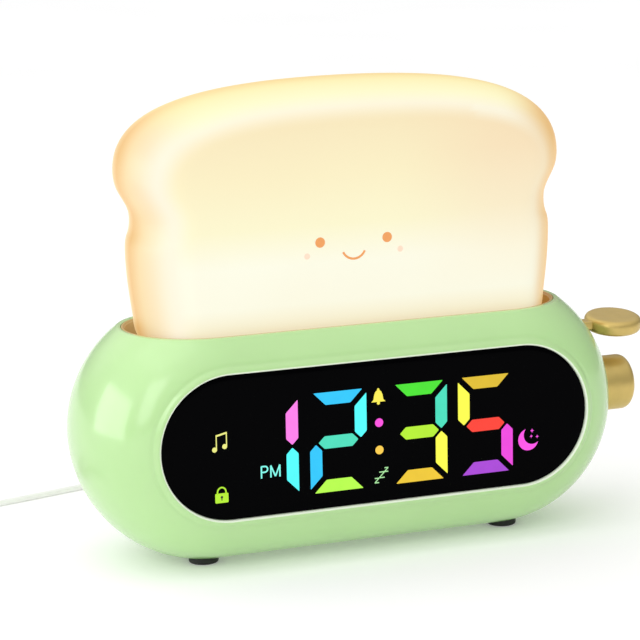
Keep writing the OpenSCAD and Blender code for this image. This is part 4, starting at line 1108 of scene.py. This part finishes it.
def rounded_bar(x, y, z, r):
    """Bar along X with round corners and closed ends."""
    turn = arc_turn(5, 0, 90)
    ring = []
    for i, (sy, sz) in enumerate(((1, 1), (-1, 1), (-1, -1), (1, -1))):
        cy = y[1] - r if sy > 0 else y[0] + r
        cz = z[1] - r if sz > 0 else z[0] + r
        a = turn + i * math.pi / 2
        ring.append(np.stack([cy + r * np.cos(a), cz + r * np.sin(a)], axis=-1))
    ring = np.concatenate(ring)
    middle = ring.mean(0)
    rows = [np.repeat([middle], len(ring), 0), ring, ring, np.repeat([middle], len(ring), 0)]
    points = [np.concatenate([np.full((len(ring), 1), at), row], axis=1)
        for at, row in zip((x[0], x[0], x[1], x[1]), rows)]
    return np.stack(points), grid_faces(4, len(ring), wrap=True)


# ---------- cord ----------

CORD_D = 2.2
CORD_R = CORD_D / 2
CORD_EXIT = (0.0, 64.7, SOCKET_Z)
COIL_AT = (-134.0, 68.4)
COIL_MID_R = 13.0
TAIL_Y = 58.8
TAIL_Z = FLOOR_Z + 3.6
CORD_ROUTE = (
    (0, 0, 0), (0, 3, 0), (-0.3, 8, -0.8), (-1.4, 14, -4.2), (-3.2, 20, -10.5), (-5.5, 26, -18),
    (-8.5, 31.5, -24.5), (-13, 36, -28), (-19, 39, -29.4), (-27, 40.2, -29.4), (-37, 39.3, -29.4),
    (-50, 36.5, -29.4), (-65.8, 32.2, -29.4), (-82, 27.5, -29.4), (-98.4, 23, -29.4),
    (-111, 20.6, -29.4), (-125.2, 20, -29.4))
# Order in which the turns fill the coil's section, as (column from inside, layer from below).
COIL_TRACKS = ((3, 0), (2, 0), (1, 0), (0, 0), (0, 1), (1, 1), (2, 1), (2, 2), (1, 2), (0, 2),
    (0, 3), (1, 3), (2, 3), (3, 3), (3, 2), (3, 1))


def through(route, steps):
    """Points of a Catmull-Rom curve through a route."""
    p = np.asarray(route, float)
    p = np.concatenate([[p[0]], p, [p[-1]]])
    t = np.linspace(0, 1, steps, endpoint=False)[None, :, None]
    a, b, c, d = (p[i:len(p) - 3 + i, None] for i in range(4))
    curve = 0.5 * (2 * b + (c - a) * t + (2 * a - 5 * b + 4 * c - d) * t ** 2
        + (3 * b - a - 3 * c + d) * t ** 3)
    return np.concatenate([curve.reshape(-1, 3), p[-1:]])


def coil_turns():
    """Turns of the coil, in degrees: the angle runs on evenly while radius and height step from one
    place in the section to the next, each step a tenth of a turn earlier than the one before."""
    enter, leave, pitch = 90.0, 5220.0, 7.5
    first, shift = 400.0, 36.0
    turn = np.arange(enter, leave + 0.1, pitch)
    tracks = np.array(COIL_TRACKS, float)
    radius = COIL_MID_R + (tracks[:, 0] - 1.5) * CORD_D
    height = FLOOR_Z + CORD_R + tracks[:, 1] * CORD_D
    begin = first + np.arange(len(tracks) - 1) * (360 - shift)
    way = (turn[:, None] - begin) / shift
    part = (1 - np.cos(np.pi * np.clip(way, 0, 1))) / 2
    r = radius[0] + part @ np.diff(radius)
    z = height[0] + part @ np.diff(height)
    a = np.radians(turn)
    return np.stack([COIL_AT[0] + r * np.cos(a), COIL_AT[1] + r * np.sin(a), z], axis=-1)


def tube(path, radius, sides=10):
    """Round tube along a path: each ring stands square to it and keeps one side level."""
    path = np.asarray(path, float)
    along = np.gradient(path, axis=0)
    along /= np.linalg.norm(along, axis=1, keepdims=True)
    level = np.cross([0, 0, 1], along)
    level /= np.linalg.norm(level, axis=1, keepdims=True)
    rise = np.cross(along, level)
    turn = np.linspace(0, 2 * np.pi, sides, endpoint=False)[None, :, None]
    rings = path[:, None] + radius * (np.cos(turn) * level[:, None] + np.sin(turn) * rise[:, None])
    rings = np.concatenate([np.repeat(path[None, :1], sides, 1), rings, np.repeat(path[None, -1:], sides, 1)])
    return rings, grid_faces(len(rings), sides, wrap=True)


class CLOCK_OT_cord(bpy.types.Operator):
    """Thin white power cord with its plugs"""

    bl_idname = "clock.cord"
    bl_label = "Cord"

    def execute(self, context):
        vinyl = soft_rubber("white soft PVC", "F4F4F2", 0.42, 0.98, 0.001)
        run = through(CORD_ROUTE, 6) + np.array(CORD_EXIT)
        coil = coil_turns()
        lead = np.linspace(run[-1], coil[0], 5)[1:-1]
        away = np.linspace(0, 1, 6)[1:, None]
        tail = coil[-1] + away * np.array([0, TAIL_Y - coil[-1, 1], 0])
        tail[:, 2] = coil[-1, 2] + smoothstep(away[:, 0], 0.375, 1) * (TAIL_Z - coil[-1, 2])
        path = np.concatenate([run, lead, coil, tail])
        gone = np.linalg.norm(np.diff(path, axis=0), axis=1)
        path = path[np.concatenate([[True], gone > 1e-3])]
        bm = to_bmesh([tube(path, CORD_R)], weld=1e-5)
        cord = settle("power_lead", bm, vinyl, "clock", ["power_cord", "cord_coil"], sharp=60)

        for name in ("cord_plug", "usb_plug"):
            refinish(nodes[name], vinyl)
        return {"FINISHED"}


# ---------- feet, back and inside ----------

class CLOCK_OT_details(bpy.types.Operator):
    """Feet, rear buttons, screws, and the finishes of what lies inside"""

    bl_idname = "clock.details"
    bl_label = "Details"

    def execute(self, context):
        rubber = soft_rubber("black rubber", "161618", 0.62)
        parts = []
        foot = [(0, 0), (3.6, 0), (4.6, 0.12), (4.88, 0.35), (5.0, 0.8), (5.0, 2.8), (0, 2.8)]
        for x in (-FOOT_AT[0], FOOT_AT[0]):
            for y in (-FOOT_AT[1], FOOT_AT[1]):
                parts.append(placed(turned(foot, 48), ALONG_Z, (x, y, FLOOR_Z)))
        bm = to_bmesh(parts)
        settle("rubber_feet", bm, rubber, "clock", ["feet"])

        green = glossy_abs("polished pale mint ABS", "C6EFAE")
        cap = [(0, 0.6), (2.4, 0.57), (3.3, 0.44), (3.75, 0.22), (3.95, -0.1), (4.0, -0.5), (4.0, -2.4)]
        for x, name in zip(BUTTON_X, BUTTON_NAMES):
            bm = to_bmesh([placed(turned(cap, 48), ALONG_Y, (x, HALF_D, BUTTON_Z))])
            face_out(bm, lambda c: Vector((0, 1, 0)) if c.y > HALF_D else Vector((0, 0, 0)))
            settle("cap_" + name, bm, green, "button_" + name, ["button_" + name], wall=0.8)

        looks = {
            "white_abs": satin_plastic("white satin ABS", "ECECE8"),
            "board": satin_plastic("green solder resist", "1F6B3A", 0.35),
            "led": satin_plastic("phosphor-topped diode", "FFF2B0", 0.4),
            "steel": plated_steel("nickel-plated steel"),
            "black_plastic": satin_plastic("black satin plastic", "1E1E20", 0.5),
            "foam": soft_rubber("closed-cell foam", "222224", 0.9),
            "green_abs": glossy_abs("polished mint ABS door", context.scene.clock_sizes.housing_hex),
            "gold": gold_lacquer("gold lacquer shaft", context.scene.clock_sizes.gold_hex)}
        slots = {s["node"]: s["material_slot"] for s in frame["record"]["subparts"]}
        for node, piece in nodes.items():
            if slots.get(node) in looks and not piece.hide_render:
                refinish(piece, looks[slots[node]])
        return {"FINISHED"}


# ---------- add-on ----------

OPERATORS = (CLOCK_OT_stage, CLOCK_OT_cord, CLOCK_OT_housing, CLOCK_OT_liner, CLOCK_OT_bread,
    CLOCK_OT_display, CLOCK_OT_controls, CLOCK_OT_details)


class CLOCK_PT_panel(bpy.types.Panel):
    """Lists the sizes and the pieces in order"""

    bl_label = "Alarm Clock"
    bl_idname = "CLOCK_PT_panel"
    bl_space_type = "VIEW_3D"
    bl_region_type = "UI"
    bl_category = "Clock"

    def draw(self, context):
        sizes = context.scene.clock_sizes
        for name in ClockSizes.__annotations__:
            self.layout.prop(sizes, name)
        for operator in OPERATORS:
            self.layout.operator(operator.bl_idname)


CLASSES = (ClockSizes, *OPERATORS, CLOCK_PT_panel)


def register():
    """Makes the classes and the sizes known."""
    for one in CLASSES:
        bpy.utils.register_class(one)
    bpy.types.Scene.clock_sizes = PointerProperty(type=ClockSizes)


def unregister():
    """Takes them back in the reverse order."""
    del bpy.types.Scene.clock_sizes
    for one in reversed(CLASSES):
        bpy.utils.unregister_class(one)


def main():
    """Builds every piece in order."""
    register()
    for operator in OPERATORS:
        group, name = operator.bl_idname.split(".")
        getattr(getattr(bpy.ops, group), name)()


if __name__ == "__main__":
    main()
